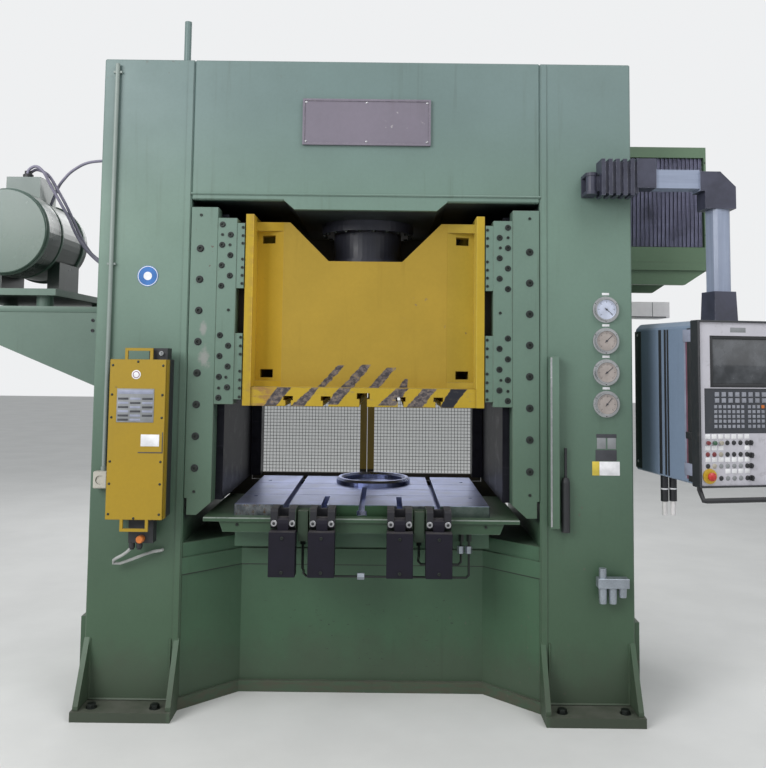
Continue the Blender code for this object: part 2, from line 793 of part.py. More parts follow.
def name_plate():
    """A bare cast plate with a raised rim on the crown."""
    half_x, half_z = NAMEPLATE_WIDTH / 2, NAMEPLATE_HEIGHT / 2
    face = FACE_SEAT_Y - NAMEPLATE_THICKNESS
    body = box("name_plate", (-half_x, half_x), (face, FACE_SEAT_Y),
               (NAMEPLATE_Z - half_z, NAMEPLATE_Z + half_z))
    in_x, in_z = half_x - NAMEPLATE_RIM, half_z - NAMEPLATE_RIM
    cut(body, box("name_plate_field", (-in_x, in_x),
                  (face - OVERRUN, face + NAMEPLATE_RECESS),
                  (NAMEPLATE_Z - in_z, NAMEPLATE_Z + in_z)))
    return finish(body, "plate_mauve")


def bed_outline(proud=0):
    """Plan of the bed: recessed centre, slanting wings, straight back."""
    wing_y = FRONT_Y + BED_WING_RECESS - proud
    mid_y = FRONT_Y + BED_RECESS - proud
    return [(-BETWEEN_X, BACK_Y), (-BETWEEN_X, wing_y), (-BED_WING_X, mid_y),
            (BED_WING_X, mid_y), (BETWEEN_X, wing_y), (BETWEEN_X, BACK_Y)]


def bed():
    """The welded bed with its band, skirt, table seat and rear hatch."""
    body = prism("bed", bed_outline(), "Z", 0, BED_HEIGHT)
    fuse(body,
         prism("bed_band", bed_outline(BED_BAND_PROUD), "Z", BED_BAND_Z,
               BED_BAND_Z + BED_BAND_HEIGHT),
         prism("bed_skirt", bed_outline(BED_SKIRT_PROUD), "Z", 0, BED_SKIRT_HEIGHT),
         box("bed_seat", (-BED_TABLE_HALF, BED_TABLE_HALF),
             (-BED_TABLE_FRONT, BACK_Y - FRAME_WALL),
             (BED_HEIGHT - BED_TABLE_THICKNESS / 2, BED_TOP)))
    cut(body, box("bed_hatch", (-BED_HATCH_HALF, BED_HATCH_HALF),
                  (BACK_Y - BED_HATCH_DEPTH, BACK_Y + OVERRUN),
                  (BED_HATCH_BOTTOM, BED_HATCH_TOP)))
    return finish(body, "press_green")


def bolster():
    """The table plate: T-slots to the front edge, joints across, lifting holes."""
    half = BOLSTER_WIDTH / 2
    body = chamfer(box("bolster", (-half, half), (BOLSTER_FRONT, -BOLSTER_FRONT),
                       (BOLSTER_BOTTOM, BOLSTER_TOP)), FRAME_EDGE / 2)
    lengths = {-2: BOLSTER_DEPTH + OVERRUN, -1: SLOT_SHORT, 0: SLOT_CENTRE,
               1: SLOT_SHORT, 2: BOLSTER_DEPTH + OVERRUN}
    slots = [tee_slot(f"bolster_slot_{place + 2}", place * SLOT_PITCH, BOLSTER_TOP,
                      BOLSTER_FRONT, length) for place, length in lengths.items()]
    grooves = [box("bolster_joint", (-half - OVERRUN, half + OVERRUN),
                   (place * GROOVE_PITCH - GROOVE_WIDTH / 2,
                    place * GROOVE_PITCH + GROOVE_WIDTH / 2),
                   (BOLSTER_TOP - GROOVE_DEPTH, BOLSTER_TOP + OVERRUN))
               for place in (-1, 0, 1)]
    holes = [rod("bolster_hole", (side * LIFT_HOLE_X, y), LIFT_HOLE_RADIUS,
                 BOLSTER_TOP - LIFT_HOLE_DEPTH, BOLSTER_TOP + OVERRUN, steps=FINE_STEPS // 2)
             for side in (-1, 1) for y in (-LIFT_HOLE_FRONT, LIFT_HOLE_BACK)]
    cut(body, *slots, *grooves, *holes)
    return finish(body, "table_steel")


def bolster_ring():
    """The locating ring that lies on the table behind its centre."""
    bottom = BOLSTER_TOP + SEAT_GAP
    top = bottom + RING_THICKNESS
    ledge = RING_LEDGE
    profile = [(RING_RADIUS - ledge, top), (RING_RADIUS, top - ledge), (RING_RADIUS, bottom),
               (RING_BORE, bottom), (RING_BORE, top - ledge), (RING_BORE + ledge, top),
               (RING_RADIUS - ledge, top)]
    return finish(turned("bolster_ring", profile, (RING_X, RING_Y, 0), steps=BIG_STEPS),
                  "table_steel", smooth=True)


def shelf():
    """The sheet-metal shelf that wraps the table's front and sides, with its apron."""
    inner = BOLSTER_WIDTH / 2 + SEAT_GAP
    rear = SHELF_FRONT_Y + SHELF_BACK
    front = BOLSTER_FRONT - SEAT_GAP
    outline = [(-SHELF_HALF, SHELF_FRONT_Y), (SHELF_HALF, SHELF_FRONT_Y),
               (SHELF_HALF, rear), (inner, rear), (inner, front), (-inner, front),
               (-inner, rear), (-SHELF_HALF, rear)]
    body = prism("shelf", outline, "Z", SHELF_Z, SHELF_TOP)
    foot = SHELF_Z - APRON_HEIGHT
    rim = SHELF_Z + SHELF_THICKNESS / 2
    half = [(APRON_FOOT_HALF, foot), (APRON_TOP_HALF, SHELF_Z), (APRON_TOP_HALF, rim)]
    apron = prism("shelf_apron", half + mirrored(half), "Y",
                  SHELF_FRONT_Y + APRON_INSET, front)
    return finish(fuse(body, apron), "press_green")


def slideway_housing(name, side):
    """The rail body on a column, with the rear gib that backs the ram's shoe."""
    rear = HOUSING_FRONT_Y
    outline = [(HOUSING_INNER_X, rear), (BETWEEN_X, rear),
               (BETWEEN_X, BACK_Y - FRAME_EDGE), (GIB_INNER_X, BACK_Y - FRAME_EDGE),
               (GIB_INNER_X, -rear), (HOUSING_INNER_X, -rear)]
    if side < 0:
        outline = mirrored(outline)
    return finish(prism(name, outline, "Z", HOUSING_BOTTOM, HOUSING_TOP), "slide_steel")


def guide_plate(name, side):
    """The long front plate with its stepped and slanted lower end."""
    tip_z = GUIDE_PLATE_BOTTOM
    outline = [(GUIDE_PLATE_INNER_X, GUIDE_PLATE_TOP),
               (GUIDE_PLATE_INNER_X, tip_z + GUIDE_PLATE_SLOPE),
               (GUIDE_PLATE_OUTER_X - GUIDE_PLATE_STEP - GUIDE_PLATE_TIP, tip_z),
               (GUIDE_PLATE_OUTER_X - GUIDE_PLATE_STEP, tip_z),
               (GUIDE_PLATE_OUTER_X - GUIDE_PLATE_STEP, GUIDE_PLATE_STEP_Z),
               (GUIDE_PLATE_OUTER_X, GUIDE_PLATE_STEP_Z),
               (GUIDE_PLATE_OUTER_X, GUIDE_PLATE_TOP)]
    if side < 0:
        outline = mirrored(outline)
    return finish(chamfer(prism(name, outline, "Y", FRONT_Y, FRONT_Y + GIB_DEPTH),
                          SLIDE_GAP), "press_green")


def gib_plate(name, side):
    """The front gib with the two wedge strips on its inner edge."""
    outer = GUIDE_PLATE_INNER_X - SEAT_GAP
    body = chamfer(box(name, (side * GIB_INNER_X, side * outer),
                       (FRONT_Y, FRONT_Y + GIB_DEPTH), (GIB_BOTTOM, GIB_TOP)), SLIDE_GAP)
    for low, high in ((GIB_BOTTOM + WEDGE_END, WEDGE_LOW_TOP),
                      (WEDGE_HIGH_BOTTOM, GIB_TOP - WEDGE_END)):
        fuse(body, box(name + "_wedge",
                       (side * WEDGE_INNER_X, side * (GIB_INNER_X + WEDGE_END)),
                       (FRONT_Y + SLIDE_GAP * 2, FRONT_Y + WEDGE_DEPTH), (low, high)))
    return finish(body, "press_green")


def main_cylinder():
    """The cylinder that hangs through the crown, bored for the rod."""
    body = rod("main_cylinder", (0, 0), CYLINDER_RADIUS, LIP_Z - COLLAR_THICKNESS / 2,
               CYLINDER_TOP, steps=BIG_STEPS)
    collar_top = LIP_Z - SEAT_GAP
    fuse(body,
         rod("cylinder_collar", (0, 0), COLLAR_RADIUS, collar_top - COLLAR_THICKNESS,
             collar_top, steps=BIG_STEPS),
         rod("cylinder_neck", (0, 0), NECK_RADIUS, GLAND_BOTTOM + GLAND_THICKNESS / 2,
             LIP_Z, steps=BIG_STEPS),
         rod("cylinder_gland", (0, 0), GLAND_RADIUS, GLAND_BOTTOM,
             GLAND_BOTTOM + GLAND_THICKNESS, steps=BIG_STEPS))
    cut(body, rod("cylinder_bore", (0, 0), ROD_RADIUS + ROD_GAP, GLAND_BOTTOM - OVERRUN,
                  ROD_TOP + BORE_HEADROOM, steps=BIG_STEPS))
    return finish(body, "black_oxide")


def ram_rod():
    """The chromed rod with the flange that holds the ram."""
    floor = RAM_BASE_TOP + SEAT_GAP
    flange = floor + ROD_FLANGE_THICKNESS
    profile = [(0, ROD_TOP), (ROD_RADIUS, ROD_TOP), (ROD_RADIUS, flange),
               (ROD_FLANGE_RADIUS, flange), (ROD_FLANGE_RADIUS, floor), (0, floor)]
    return finish(turned("ram_rod", profile, (0, 0, 0), steps=BIG_STEPS), "chrome",
                  smooth=True)


def ram():
    """The welded ram: folded front and rear walls, side flanges, shoes and slots."""
    face, side_y = RAM_FACE_FRONT, RAM_SIDE_FRONT
    reach = RAM_FLANGE_INNER_X + RAM_FLANGE_THICKNESS / 2
    body = box("ram", (-reach, reach), (-face, face),
               (RAM_BOTTOM + RAM_BASE_THICKNESS / 2, RAM_BODY_TOP))
    for side in (-1, 1):
        for end in (-1, 1):
            clear = end * (face + OVERRUN)
            outline = [(side * RAM_FACE_HALF, end * face),
                       (side * RAM_FLANGE_INNER_X, end * side_y),
                       (side * (reach + OVERRUN), end * side_y),
                       (side * (reach + OVERRUN), clear), (side * RAM_FACE_HALF, clear)]
            cut(body, prism("ram_fold", outline, "Z", RAM_BASE_TOP + RAM_BAND_FOOT,
                            RAM_BODY_TOP - RAM_BAND_TOP))
    notch_half = [(RAM_NOTCH_HALF, RAM_NOTCH_FLOOR), (RAM_NOTCH_TOP_HALF, RAM_BODY_TOP),
                  (RAM_NOTCH_TOP_HALF, RAM_BODY_TOP + OVERRUN)]
    notch = prism("ram_notch", notch_half + mirrored(notch_half), "Y",
                  -face - OVERRUN, face + OVERRUN)
    room_y = side_y - RAM_WALL
    room_x = RAM_FLANGE_INNER_X - RAM_WALL / 2
    room = box("ram_room", (-room_x, room_x), (-room_y, room_y),
               (RAM_BASE_TOP, RAM_BODY_TOP + OVERRUN))
    windows = [box("ram_window",
                   (side * RAM_WINDOW_X - RAM_WINDOW_HALF_WIDTH,
                    side * RAM_WINDOW_X + RAM_WINDOW_HALF_WIDTH),
                   (-face - OVERRUN, -room_y + OVERRUN),
                   (z - RAM_WINDOW_HALF_HEIGHT, z + RAM_WINDOW_HALF_HEIGHT))
               for side in (-1, 1) for z in (RAM_WINDOW_LOW, RAM_WINDOW_HIGH)]
    cut(body, notch, room, *windows)
    shoe_y = -HOUSING_FRONT_Y - SLIDE_GAP
    for side in (-1, 1):
        flange = box("ram_flange",
                     (side * RAM_FLANGE_INNER_X, side * RAM_FLANGE_OUTER_X),
                     (-RAM_FLANGE_FRONT, RAM_FLANGE_FRONT), (RAM_BOTTOM, RAM_FLANGE_TOP))
        shoe = box("ram_shoe",
                   (side * (RAM_FLANGE_OUTER_X - RAM_FLANGE_THICKNESS / 2),
                    side * (HOUSING_INNER_X - SLIDE_GAP)),
                   (-shoe_y, shoe_y), (RAM_SHOE_BOTTOM, RAM_SHOE_TOP))
        fuse(body, flange, shoe)
    fuse(body, box("ram_base", (-reach, reach), (-RAM_BASE_FRONT, RAM_BASE_FRONT),
                   (RAM_BOTTOM, RAM_BASE_TOP)))
    slots = [tee_slot(f"ram_slot_{place + 2}", place * SLOT_PITCH, RAM_BOTTOM,
                      -RAM_BASE_FRONT, 2 * RAM_BASE_FRONT + OVERRUN,
                      RAM_CENTRE_SLOT_SCALE_SHARE if place == 0 else 1.0, opens=-1)
             for place in (-2, -1, 0, 1, 2)]
    cut(body, *slots)
    return finish(body, "safety_yellow")


def ear_outline():
    """Side view of a console's ear: a hook over the shelf with a rounded nose."""
    y, z = CONSOLE_AXIS_Y, CONSOLE_AXIS_Z
    top = BOLSTER_TOP - SEAT_GAP
    over_shelf = SHELF_TOP + SEAT_GAP
    wall = BOLSTER_FRONT - SEAT_GAP
    nose = arc((y, z), EAR_NOSE, -90, -180 + math.degrees(math.asin(EAR_NOSE / 2 / EAR_FRONT)),
               5)
    nose = [(max(u, y - EAR_FRONT), v) for u, v in nose]
    return ([(wall, over_shelf), (wall, top), (y - EAR_FRONT + EAR_TOP_CHAMFER, top),
             (y - EAR_FRONT, top - EAR_TOP_CHAMFER)] + list(reversed(nose))
            + [(y + EAR_BACK, z - EAR_NOSE), (y + EAR_BACK, over_shelf)])


def console_bracket(name, side):
    """Four ears, their link bar and the small valve block between two consoles."""
    outline = ear_outline()
    wall = BOLSTER_FRONT - SEAT_GAP
    top = BOLSTER_TOP - SEAT_GAP
    centres = (side * SLOT_PITCH, side * 2 * SLOT_PITCH)
    spots = [centre + hand * EAR_OFFSET for centre in centres for hand in (-1, 1)]
    low_x, high_x = min(spots) - EAR_HALF_WIDTH, max(spots) + EAR_HALF_WIDTH
    inset = EAR_HALF_WIDTH / 4
    body = box(name, (low_x + inset, high_x - inset), (wall - LINK_BAR_DEPTH, wall),
               (SHELF_TOP + SEAT_GAP, SHELF_TOP + LINK_BAR_HEIGHT))
    ears = [prism(f"{name}_ear", outline, "X", x - EAR_HALF_WIDTH, x + EAR_HALF_WIDTH)
            for x in spots]
    middle = sum(centres) / 2
    valve = box(f"{name}_valve", (middle - VALVE_HALF_WIDTH, middle + VALVE_HALF_WIDTH),
                (SHELF_FRONT_Y - SEAT_GAP - 2 * VALVE_HALF_WIDTH, SHELF_FRONT_Y - SEAT_GAP),
                (top - VALVE_HEIGHT, top - EAR_TOP_CHAMFER))
    neck = box(f"{name}_neck",
               (middle - VALVE_HALF_WIDTH / 2, middle + VALVE_HALF_WIDTH / 2),
               (SHELF_FRONT_Y - VALVE_HALF_WIDTH, wall - LINK_BAR_DEPTH / 2),
               (SHELF_TOP + SEAT_GAP, SHELF_TOP + LINK_BAR_HEIGHT / 2))
    return finish(fuse(body, *ears, valve, neck), "black_oxide")


def console(name, x):
    """A folding arm that hangs from its ears; its slot opens forwards when folded."""
    y, z = CONSOLE_AXIS_Y, CONSOLE_AXIS_Z
    body = chamfer(box(name, (x - CONSOLE_HALF_WIDTH, x + CONSOLE_HALF_WIDTH),
                       (y - CONSOLE_FRONT, y + CONSOLE_BACK),
                       (CONSOLE_BOTTOM, z - CONSOLE_NECK)), SLIDE_GAP)
    nose = EAR_NOSE
    outline = ([(y - CONSOLE_BACK, z - CONSOLE_NECK * 2), (y + CONSOLE_BACK / 2,
                z - CONSOLE_NECK * 2)] + arc((y, z), nose, -66, 180, 8)
               + [(y - nose, z - CONSOLE_NECK * 2)])
    tongue = prism(name + "_tongue", outline[1:], "X", x - CONSOLE_TONGUE_HALF,
                   x + CONSOLE_TONGUE_HALF)
    fuse(body, tongue)
    return finish(body, "black_oxide", origin=(x, y, z))


def hydraulic_line(name, start_x, level, end_x, union_x):
    """A rigid line from a valve block down, along and up to the apron, with a union."""
    y = SHELF_FRONT_Y - VALVE_HALF_WIDTH - SEAT_GAP
    top = BOLSTER_TOP - SEAT_GAP - VALVE_HEIGHT - SEAT_GAP
    seat = SHELF_Z - APRON_HEIGHT - SEAT_GAP
    run_y = SHELF_FRONT_Y + LINE_OUT
    bend = LINE_RADIUS * 4
    route = [(start_x, y, top), (start_x, y, level + 2 * bend), (start_x, run_y, level + bend),
             (start_x, run_y, level + bend / 2), (start_x + bend / 2, run_y, level),
             (end_x - bend / 2, run_y, level), (end_x, run_y, level + bend / 2),
             (end_x, run_y, seat)]
    body = tube(name, route, LINE_RADIUS)
    extras = [rod(name + "_nut", (end_x, run_y), UNION_RADIUS, seat - 2 * UNION_HALF,
                  seat - SLIDE_GAP, steps=6),
              rod(name + "_start", (start_x, y), UNION_RADIUS, top - UNION_HALF,
                  top - SLIDE_GAP, steps=6),
              rod(name + "_rise", (end_x, run_y), UNION_RADIUS,
                  UPPER_LINE_Z + 3 * UNION_HALF, UPPER_LINE_Z + 5 * UNION_HALF, steps=6)]
    if union_x is not None:
        extras.append(rod(name + "_union", (run_y, level), UNION_RADIUS,
                          union_x - UNION_HALF, union_x + UNION_HALF, axis="X", steps=6))
    return finish(fuse(body, *extras), "press_green")


def curtain_case():
    """The dark housing behind the cover, its plug block below and lock block above."""
    right = CASE_LEFT_X + CASE_WIDTH
    top = CASE_BOTTOM + CASE_HEIGHT
    body = chamfer(box("curtain_case", (CASE_LEFT_X, right),
                       (FACE_SEAT_Y - CASE_DEPTH, FACE_SEAT_Y), (CASE_BOTTOM, top)),
                   SLIDE_GAP)
    left = CASE_LEFT_X + CONNECTOR_LEFT
    middle = FACE_SEAT_Y - CASE_DEPTH / 2
    plugs = box("curtain_plugs", (left, left + CONNECTOR_WIDTH),
                (middle - CONNECTOR_DEPTH / 2, middle + CONNECTOR_DEPTH / 2),
                (CASE_BOTTOM - CONNECTOR_HEIGHT, CASE_BOTTOM + SLIDE_GAP * 2))
    front = FACE_SEAT_Y - CASE_DEPTH + HANDLE_BAR
    lock = box("curtain_lock", (right - SWITCH_WIDTH, right - SLIDE_GAP),
               (front, front + SWITCH_DEPTH), (top - SLIDE_GAP * 2, top + SWITCH_HEIGHT))
    return finish(fuse(body, plugs, lock), "black_oxide")


def curtain_cover():
    """The yellow front cover, with a bent grab handle at each end."""
    right = CASE_LEFT_X + CASE_WIDTH
    top = CASE_BOTTOM + CASE_HEIGHT
    back = FACE_SEAT_Y - CASE_DEPTH - SEAT_GAP
    front = back - COVER_THICKNESS
    body = chamfer(box("curtain_cover", (CASE_LEFT_X, right), (front, back),
                       (CASE_BOTTOM, top)), SLIDE_GAP)
    left = CASE_LEFT_X + HANDLE_LEFT
    span = (left, left + HANDLE_WIDTH)
    for edge, way in ((top, 1), (CASE_BOTTOM, -1)):
        tip = edge + way * HANDLE_HEIGHT
        bars = [box("cover_handle", span, (front, back), (tip - way * HANDLE_BAR, tip))]
        bars += [box("cover_handle_leg", (x, x + HANDLE_BAR), (front, back),
                     (edge - way * HANDLE_BAR, tip))
                 for x in (span[0], span[1] - HANDLE_BAR)]
        fuse(body, *bars)
    return finish(body, "safety_yellow")


def switch_key():
    """The key: a round barrel on the switch with a flat bow."""
    x = CASE_LEFT_X + CASE_WIDTH - SWITCH_WIDTH / 3
    z = CASE_BOTTOM + CASE_HEIGHT + SWITCH_HEIGHT * 0.55
    back = FACE_SEAT_Y - CASE_DEPTH + HANDLE_BAR - SEAT_GAP
    barrel = back - KEY_PROUD / 3
    body = rod("switch_key", (x, z), KEY_RADIUS, barrel, back, axis="Y", steps=FINE_STEPS)
    fuse(body, box("key_bow", (x - KEY_WEB / 2, x + KEY_WEB / 2),
                   (back - KEY_PROUD, barrel + KEY_WEB / 2),
                   (z - KEY_HEAD / 2, z + KEY_HEAD / 2)))
    return finish(body, "chrome", origin=(x, back, z))


def receiver():
    """The slim light-curtain bar on the right column."""
    half = RECEIVER_WIDTH / 2
    body = chamfer(box("curtain_receiver", (RECEIVER_X - half, RECEIVER_X + half),
                       (FACE_SEAT_Y - RECEIVER_DEPTH, FACE_SEAT_Y),
                       (RECEIVER_BOTTOM, RECEIVER_BOTTOM + RECEIVER_HEIGHT)), SLIDE_GAP)
    return finish(body, "press_green")


def side_sleeve():
    """A sheathed locking pin held against the right column."""
    y = FACE_SEAT_Y - SLEEVE_RADIUS
    top = SLEEVE_BOTTOM + SLEEVE_HEIGHT
    tip = top + SLEEVE_ROD_HEIGHT
    profile = [(0, tip), (SLEEVE_ROD_RADIUS, tip),
               (SLEEVE_ROD_RADIUS, top), (SLEEVE_RADIUS * 0.7, top),
               (SLEEVE_RADIUS, top - SLEEVE_RADIUS), (SLEEVE_RADIUS, SLEEVE_BOTTOM),
               (0, SLEEVE_BOTTOM)]
    return finish(turned("side_sleeve", profile, (SLEEVE_X, y, 0), steps=FINE_STEPS),
                  "black_oxide", smooth=True)


def signal_cable():
    """The looped lead from the plug block back into the column."""
    route = [(x, FRONT_Y - out, z) for x, out, z in SIGNAL_CABLE_ROUTE]
    return finish(tube("signal_cable", route, SIGNAL_CABLE_RADIUS), "cable_grey", smooth=True)


def gauge(index):
    """A panel gauge: flange, bezel and recessed dial."""
    inner = GAUGE_BEZEL_RADIUS - GAUGE_BEZEL_WALL
    profile = [(0, GAUGE_DEPTH - GAUGE_RECESS), (inner, GAUGE_DEPTH - GAUGE_RECESS),
               (inner, GAUGE_DEPTH), (GAUGE_BEZEL_RADIUS, GAUGE_DEPTH),
               (GAUGE_BEZEL_RADIUS, GAUGE_FLANGE), (GAUGE_RADIUS, GAUGE_FLANGE),
               (GAUGE_RADIUS, 0), (0, 0)]
    place = (GAUGE_X, FACE_SEAT_Y, GAUGE_TOP_Z - index * GAUGE_PITCH)
    return finish(turned(f"gauge_{index + 1}", profile, place, axis="Y"), "chrome",
                  smooth=True)


def conduit():
    """The pipe down the left column with the wall socket that it feeds."""
    half_x, half_z = SOCKET_WIDTH / 2, SOCKET_HEIGHT / 2
    front = FACE_SEAT_Y - SOCKET_DEPTH
    body = chamfer(box("conduit", (SOCKET_X - half_x, SOCKET_X + half_x),
                       (front, FACE_SEAT_Y), (SOCKET_Z - half_z, SOCKET_Z + half_z)),
                   SLIDE_GAP * 2)
    y = FACE_SEAT_Y - CONDUIT_CLEARANCE - CONDUIT_RADIUS
    bottom = SOCKET_Z + half_z
    pipe = rod("conduit_pipe", (CONDUIT_X, y), CONDUIT_RADIUS, bottom - SOCKET_FACE_DEPTH,
               CONDUIT_TOP, steps=FINE_STEPS)
    nut = rod("conduit_gland", (CONDUIT_X, y), CONDUIT_RADIUS + CONDUIT_CLEARANCE,
              bottom - SOCKET_FACE_DEPTH / 2, bottom + CONDUIT_RADIUS * 2, steps=FINE_STEPS)
    saddles = [box("conduit_saddle",
                   (CONDUIT_X - CONDUIT_RADIUS * 2, CONDUIT_X + CONDUIT_RADIUS * 2),
                   (y, FACE_SEAT_Y), (z - CONDUIT_RADIUS / 2, z + CONDUIT_RADIUS / 2))
               for z in (CONDUIT_TOP - CONDUIT_RADIUS * 4, (CONDUIT_TOP + bottom) / 2)]
    fuse(body, pipe, nut, *saddles)
    cut(body, rod("socket_face", (SOCKET_X, SOCKET_Z), SOCKET_FACE_RADIUS,
                  front - OVERRUN, front + SOCKET_FACE_DEPTH, axis="Y", steps=FINE_STEPS))
    return finish(body, "press_green", smooth=True)


def air_unit():
    """The compressed-air service unit: two bowls, a regulator and its bracket."""
    half_x, half_z = AIR_BODY_WIDTH / 2, AIR_BODY_HEIGHT / 2
    back = FACE_SEAT_Y - AIR_STANDOFF
    front = back - AIR_BODY_DEPTH
    middle = (front + back) / 2
    body = chamfer(box("air_unit", (AIR_X - half_x, AIR_X + half_x), (front, back),
                       (AIR_Z - half_z, AIR_Z + half_z)), SLIDE_GAP)
    parts = [box("air_bracket", (AIR_X - half_z, AIR_X + half_z),
                 (back - AIR_STANDOFF / 2, FACE_SEAT_Y), (AIR_Z - half_z / 2, AIR_Z + half_z / 2))]
    for place in (-1, 0, 1):
        x = AIR_X + place * AIR_BOWL_PITCH
        length = AIR_BOWL_LENGTH if place < 1 else AIR_BOWL_LENGTH * AIR_SHORT_SHARE
        parts.append(rod("air_bowl", (x, middle), AIR_BOWL_RADIUS * 0.8,
                         AIR_Z - half_z - length, AIR_Z, steps=FINE_STEPS,
                         top_radius=AIR_BOWL_RADIUS))
    parts.append(rod("air_knob", (AIR_X - AIR_BOWL_PITCH, middle), AIR_KNOB_RADIUS, AIR_Z,
                     AIR_Z + half_z + AIR_KNOB_HEIGHT, steps=FINE_STEPS))
    return finish(fuse(body, *parts), "aluminium")


def motor_bracket():
    """The cantilever on the left column: top plate, two webs and wall flanges."""
    wall = -COLUMN_OUTER_X - SEAT_GAP
    low = BRACKET_TOP - BRACKET_PLATE
    body = box("motor_bracket", (UNIT_LEFT_X, wall), (-UNIT_FRONT, UNIT_BACK),
               (low, BRACKET_TOP))
    outline = [(wall, low + BRACKET_PLATE / 2), (wall, BRACKET_TOP - BRACKET_ROOT),
               (BRACKET_TIP_X, low - BRACKET_TIP), (BRACKET_TIP_X, low + BRACKET_PLATE / 2)]
    foot = (wall - BRACKET_FLANGE, wall)
    for y in (-UNIT_FRONT, BACK_Y - SIDE_PAD_INSET - BRACKET_WEB):
        fuse(body, prism("bracket_web", outline, "Y", y, y + BRACKET_WEB))
    fuse(body, box("bracket_foot", foot,
                   (-UNIT_FRONT, BACK_Y - SIDE_PAD_INSET),
                   (BRACKET_TOP - BRACKET_ROOT, low + BRACKET_PLATE / 2)))
    return finish(body, "press_green")


def motor_base():
    """The base plate of the power unit on four rubber mounts."""
    bottom = BRACKET_TOP + SEAT_GAP
    low = bottom + MOUNT_HEIGHT
    body = box("motor_base", (UNIT_LEFT_X, MOTOR_BASE_RIGHT_X), (-UNIT_FRONT, UNIT_BACK),
               (low, low + MOTOR_BASE_THICKNESS))
    for x in (UNIT_LEFT_X + MOUNT_INSET, MOTOR_BASE_RIGHT_X - MOUNT_INSET):
        for y in (-UNIT_FRONT + MOUNT_INSET, UNIT_BACK - MOUNT_INSET):
            fuse(body, rod("base_mount", (x, y), MOUNT_RADIUS, bottom,
                           low + MOTOR_BASE_THICKNESS / 2, steps=FINE_STEPS))
    return finish(body, "press_green")


def motor():
    """The electric motor with its cowl, feet, terminal box and flanged pump."""
    front = MOTOR_FRONT
    cowl = MOTOR_RADIUS + MOTOR_COWL_STEP
    profile = [(0, front), (MOTOR_RADIUS * 0.8, front), (cowl, front - MOTOR_CROWN),
               (cowl, front - MOTOR_COWL), (MOTOR_RADIUS, front - MOTOR_COWL),
               (MOTOR_RADIUS, front - MOTOR_LENGTH),
               (PUMP_RADIUS, front - MOTOR_LENGTH - MOTOR_CROWN),
               (PUMP_RADIUS, front - MOTOR_LENGTH - PUMP_LENGTH),
               (0, front - MOTOR_LENGTH - PUMP_LENGTH)]
    body = turned("motor", profile, (MOTOR_X, 0, MOTOR_Z), axis="Y", steps=BIG_STEPS)
    seat = BRACKET_TOP + 2 * SEAT_GAP + MOUNT_HEIGHT + MOTOR_BASE_THICKNESS
    back = MOTOR_LENGTH - front
    for side in (-1, 1):
        spread = sorted((side * MOTOR_FOOT_SPREAD - MOTOR_FOOT_WIDTH / 2,
                         side * MOTOR_FOOT_SPREAD + MOTOR_FOOT_WIDTH / 2))
        fuse(body, box("motor_foot", (MOTOR_X + spread[0], MOTOR_X + spread[1]),
                       (MOTOR_COWL - front + MOTOR_FOOT_INSET, back - MOTOR_FOOT_INSET / 2),
                       (seat, MOTOR_Z - MOTOR_RADIUS * 0.6)))
    fuse(body, box("motor_terminals",
                   (MOTOR_X - TERMINAL_WIDTH / 2, MOTOR_X + TERMINAL_WIDTH / 2),
                   (MOTOR_COWL - front + MOTOR_CROWN,
                    MOTOR_COWL - front + MOTOR_CROWN + TERMINAL_LENGTH),
                   (MOTOR_Z + MOTOR_RADIUS * 0.8,
                    MOTOR_Z + MOTOR_RADIUS + TERMINAL_HEIGHT)))
    return finish(body, "press_green", smooth=True)


def cooler_bracket():
    """Shelf and two tapering arms that carry the cooler on the right column."""
    wall = COLUMN_OUTER_X + SEAT_GAP
    tip = wall + COOLER_WIDTH + COOLER_RIM
    top = COOLER_BOTTOM - COOLER_BASE_HEIGHT - SEAT_GAP
    low = top - COOLER_SHELF
    body = box("cooler_bracket", (wall, tip), (-COOLER_FRONT, COOLER_DEPTH - COOLER_FRONT),
               (low, top))
    outline = [(wall, low + COOLER_SHELF / 2), (wall, low - COOLER_ARM_HEIGHT),
               (tip - COOLER_ARM_TAPER, low - COOLER_ARM_HEIGHT),
               (tip - COOLER_RIM, low), (tip - COOLER_RIM, low + COOLER_SHELF / 2)]
    back = COOLER_DEPTH - COOLER_FRONT - COOLER_ARM_WIDTH
    for y in (-COOLER_FRONT + COOLER_RIM, back - COOLER_RIM):
        fuse(body, prism("cooler_arm", outline, "Y", y, y + COOLER_ARM_WIDTH))
    return finish(body, "press_green")


def cooler():
    """The oil cooler: base frame, cased fan section and a recessed finned core."""
    wall = COLUMN_OUTER_X + SEAT_GAP + COOLER_RIM
    right = wall + COOLER_WIDTH - COOLER_RIM
    back = COOLER_DEPTH - COOLER_FRONT
    body = box("cooler", (wall, right), (-COOLER_FRONT, back),
               (COOLER_BOTTOM - COOLER_BASE_HEIGHT, COOLER_BOTTOM + COOLER_HEIGHT))
    pocket = (COOLER_BOTTOM + COOLER_RIM, COOLER_BOTTOM + COOLER_CORE_HEIGHT)
    for low, high in ((-COOLER_FRONT - OVERRUN, -COOLER_FRONT + COOLER_CORE_RECESS),
                      (back - COOLER_CORE_RECESS, back + OVERRUN)):
        cut(body, box("cooler_pocket", (wall + COOLER_RIM, right - COOLER_RIM),
                      (low, high), pocket))
    return finish(body, "dark_green")


def side_box():
    """The grey junction box on the right column's outer face."""
    wall = COLUMN_OUTER_X + SEAT_GAP
    body = chamfer(box("side_box", (wall, wall + SIDE_BOX_WIDTH),
                       (-SIDE_BOX_FRONT, -SIDE_BOX_FRONT + SIDE_BOX_DEPTH),
                       (SIDE_BOX_BOTTOM, SIDE_BOX_BOTTOM + SIDE_BOX_HEIGHT)), SLIDE_GAP)
    return finish(body, "box_grey")


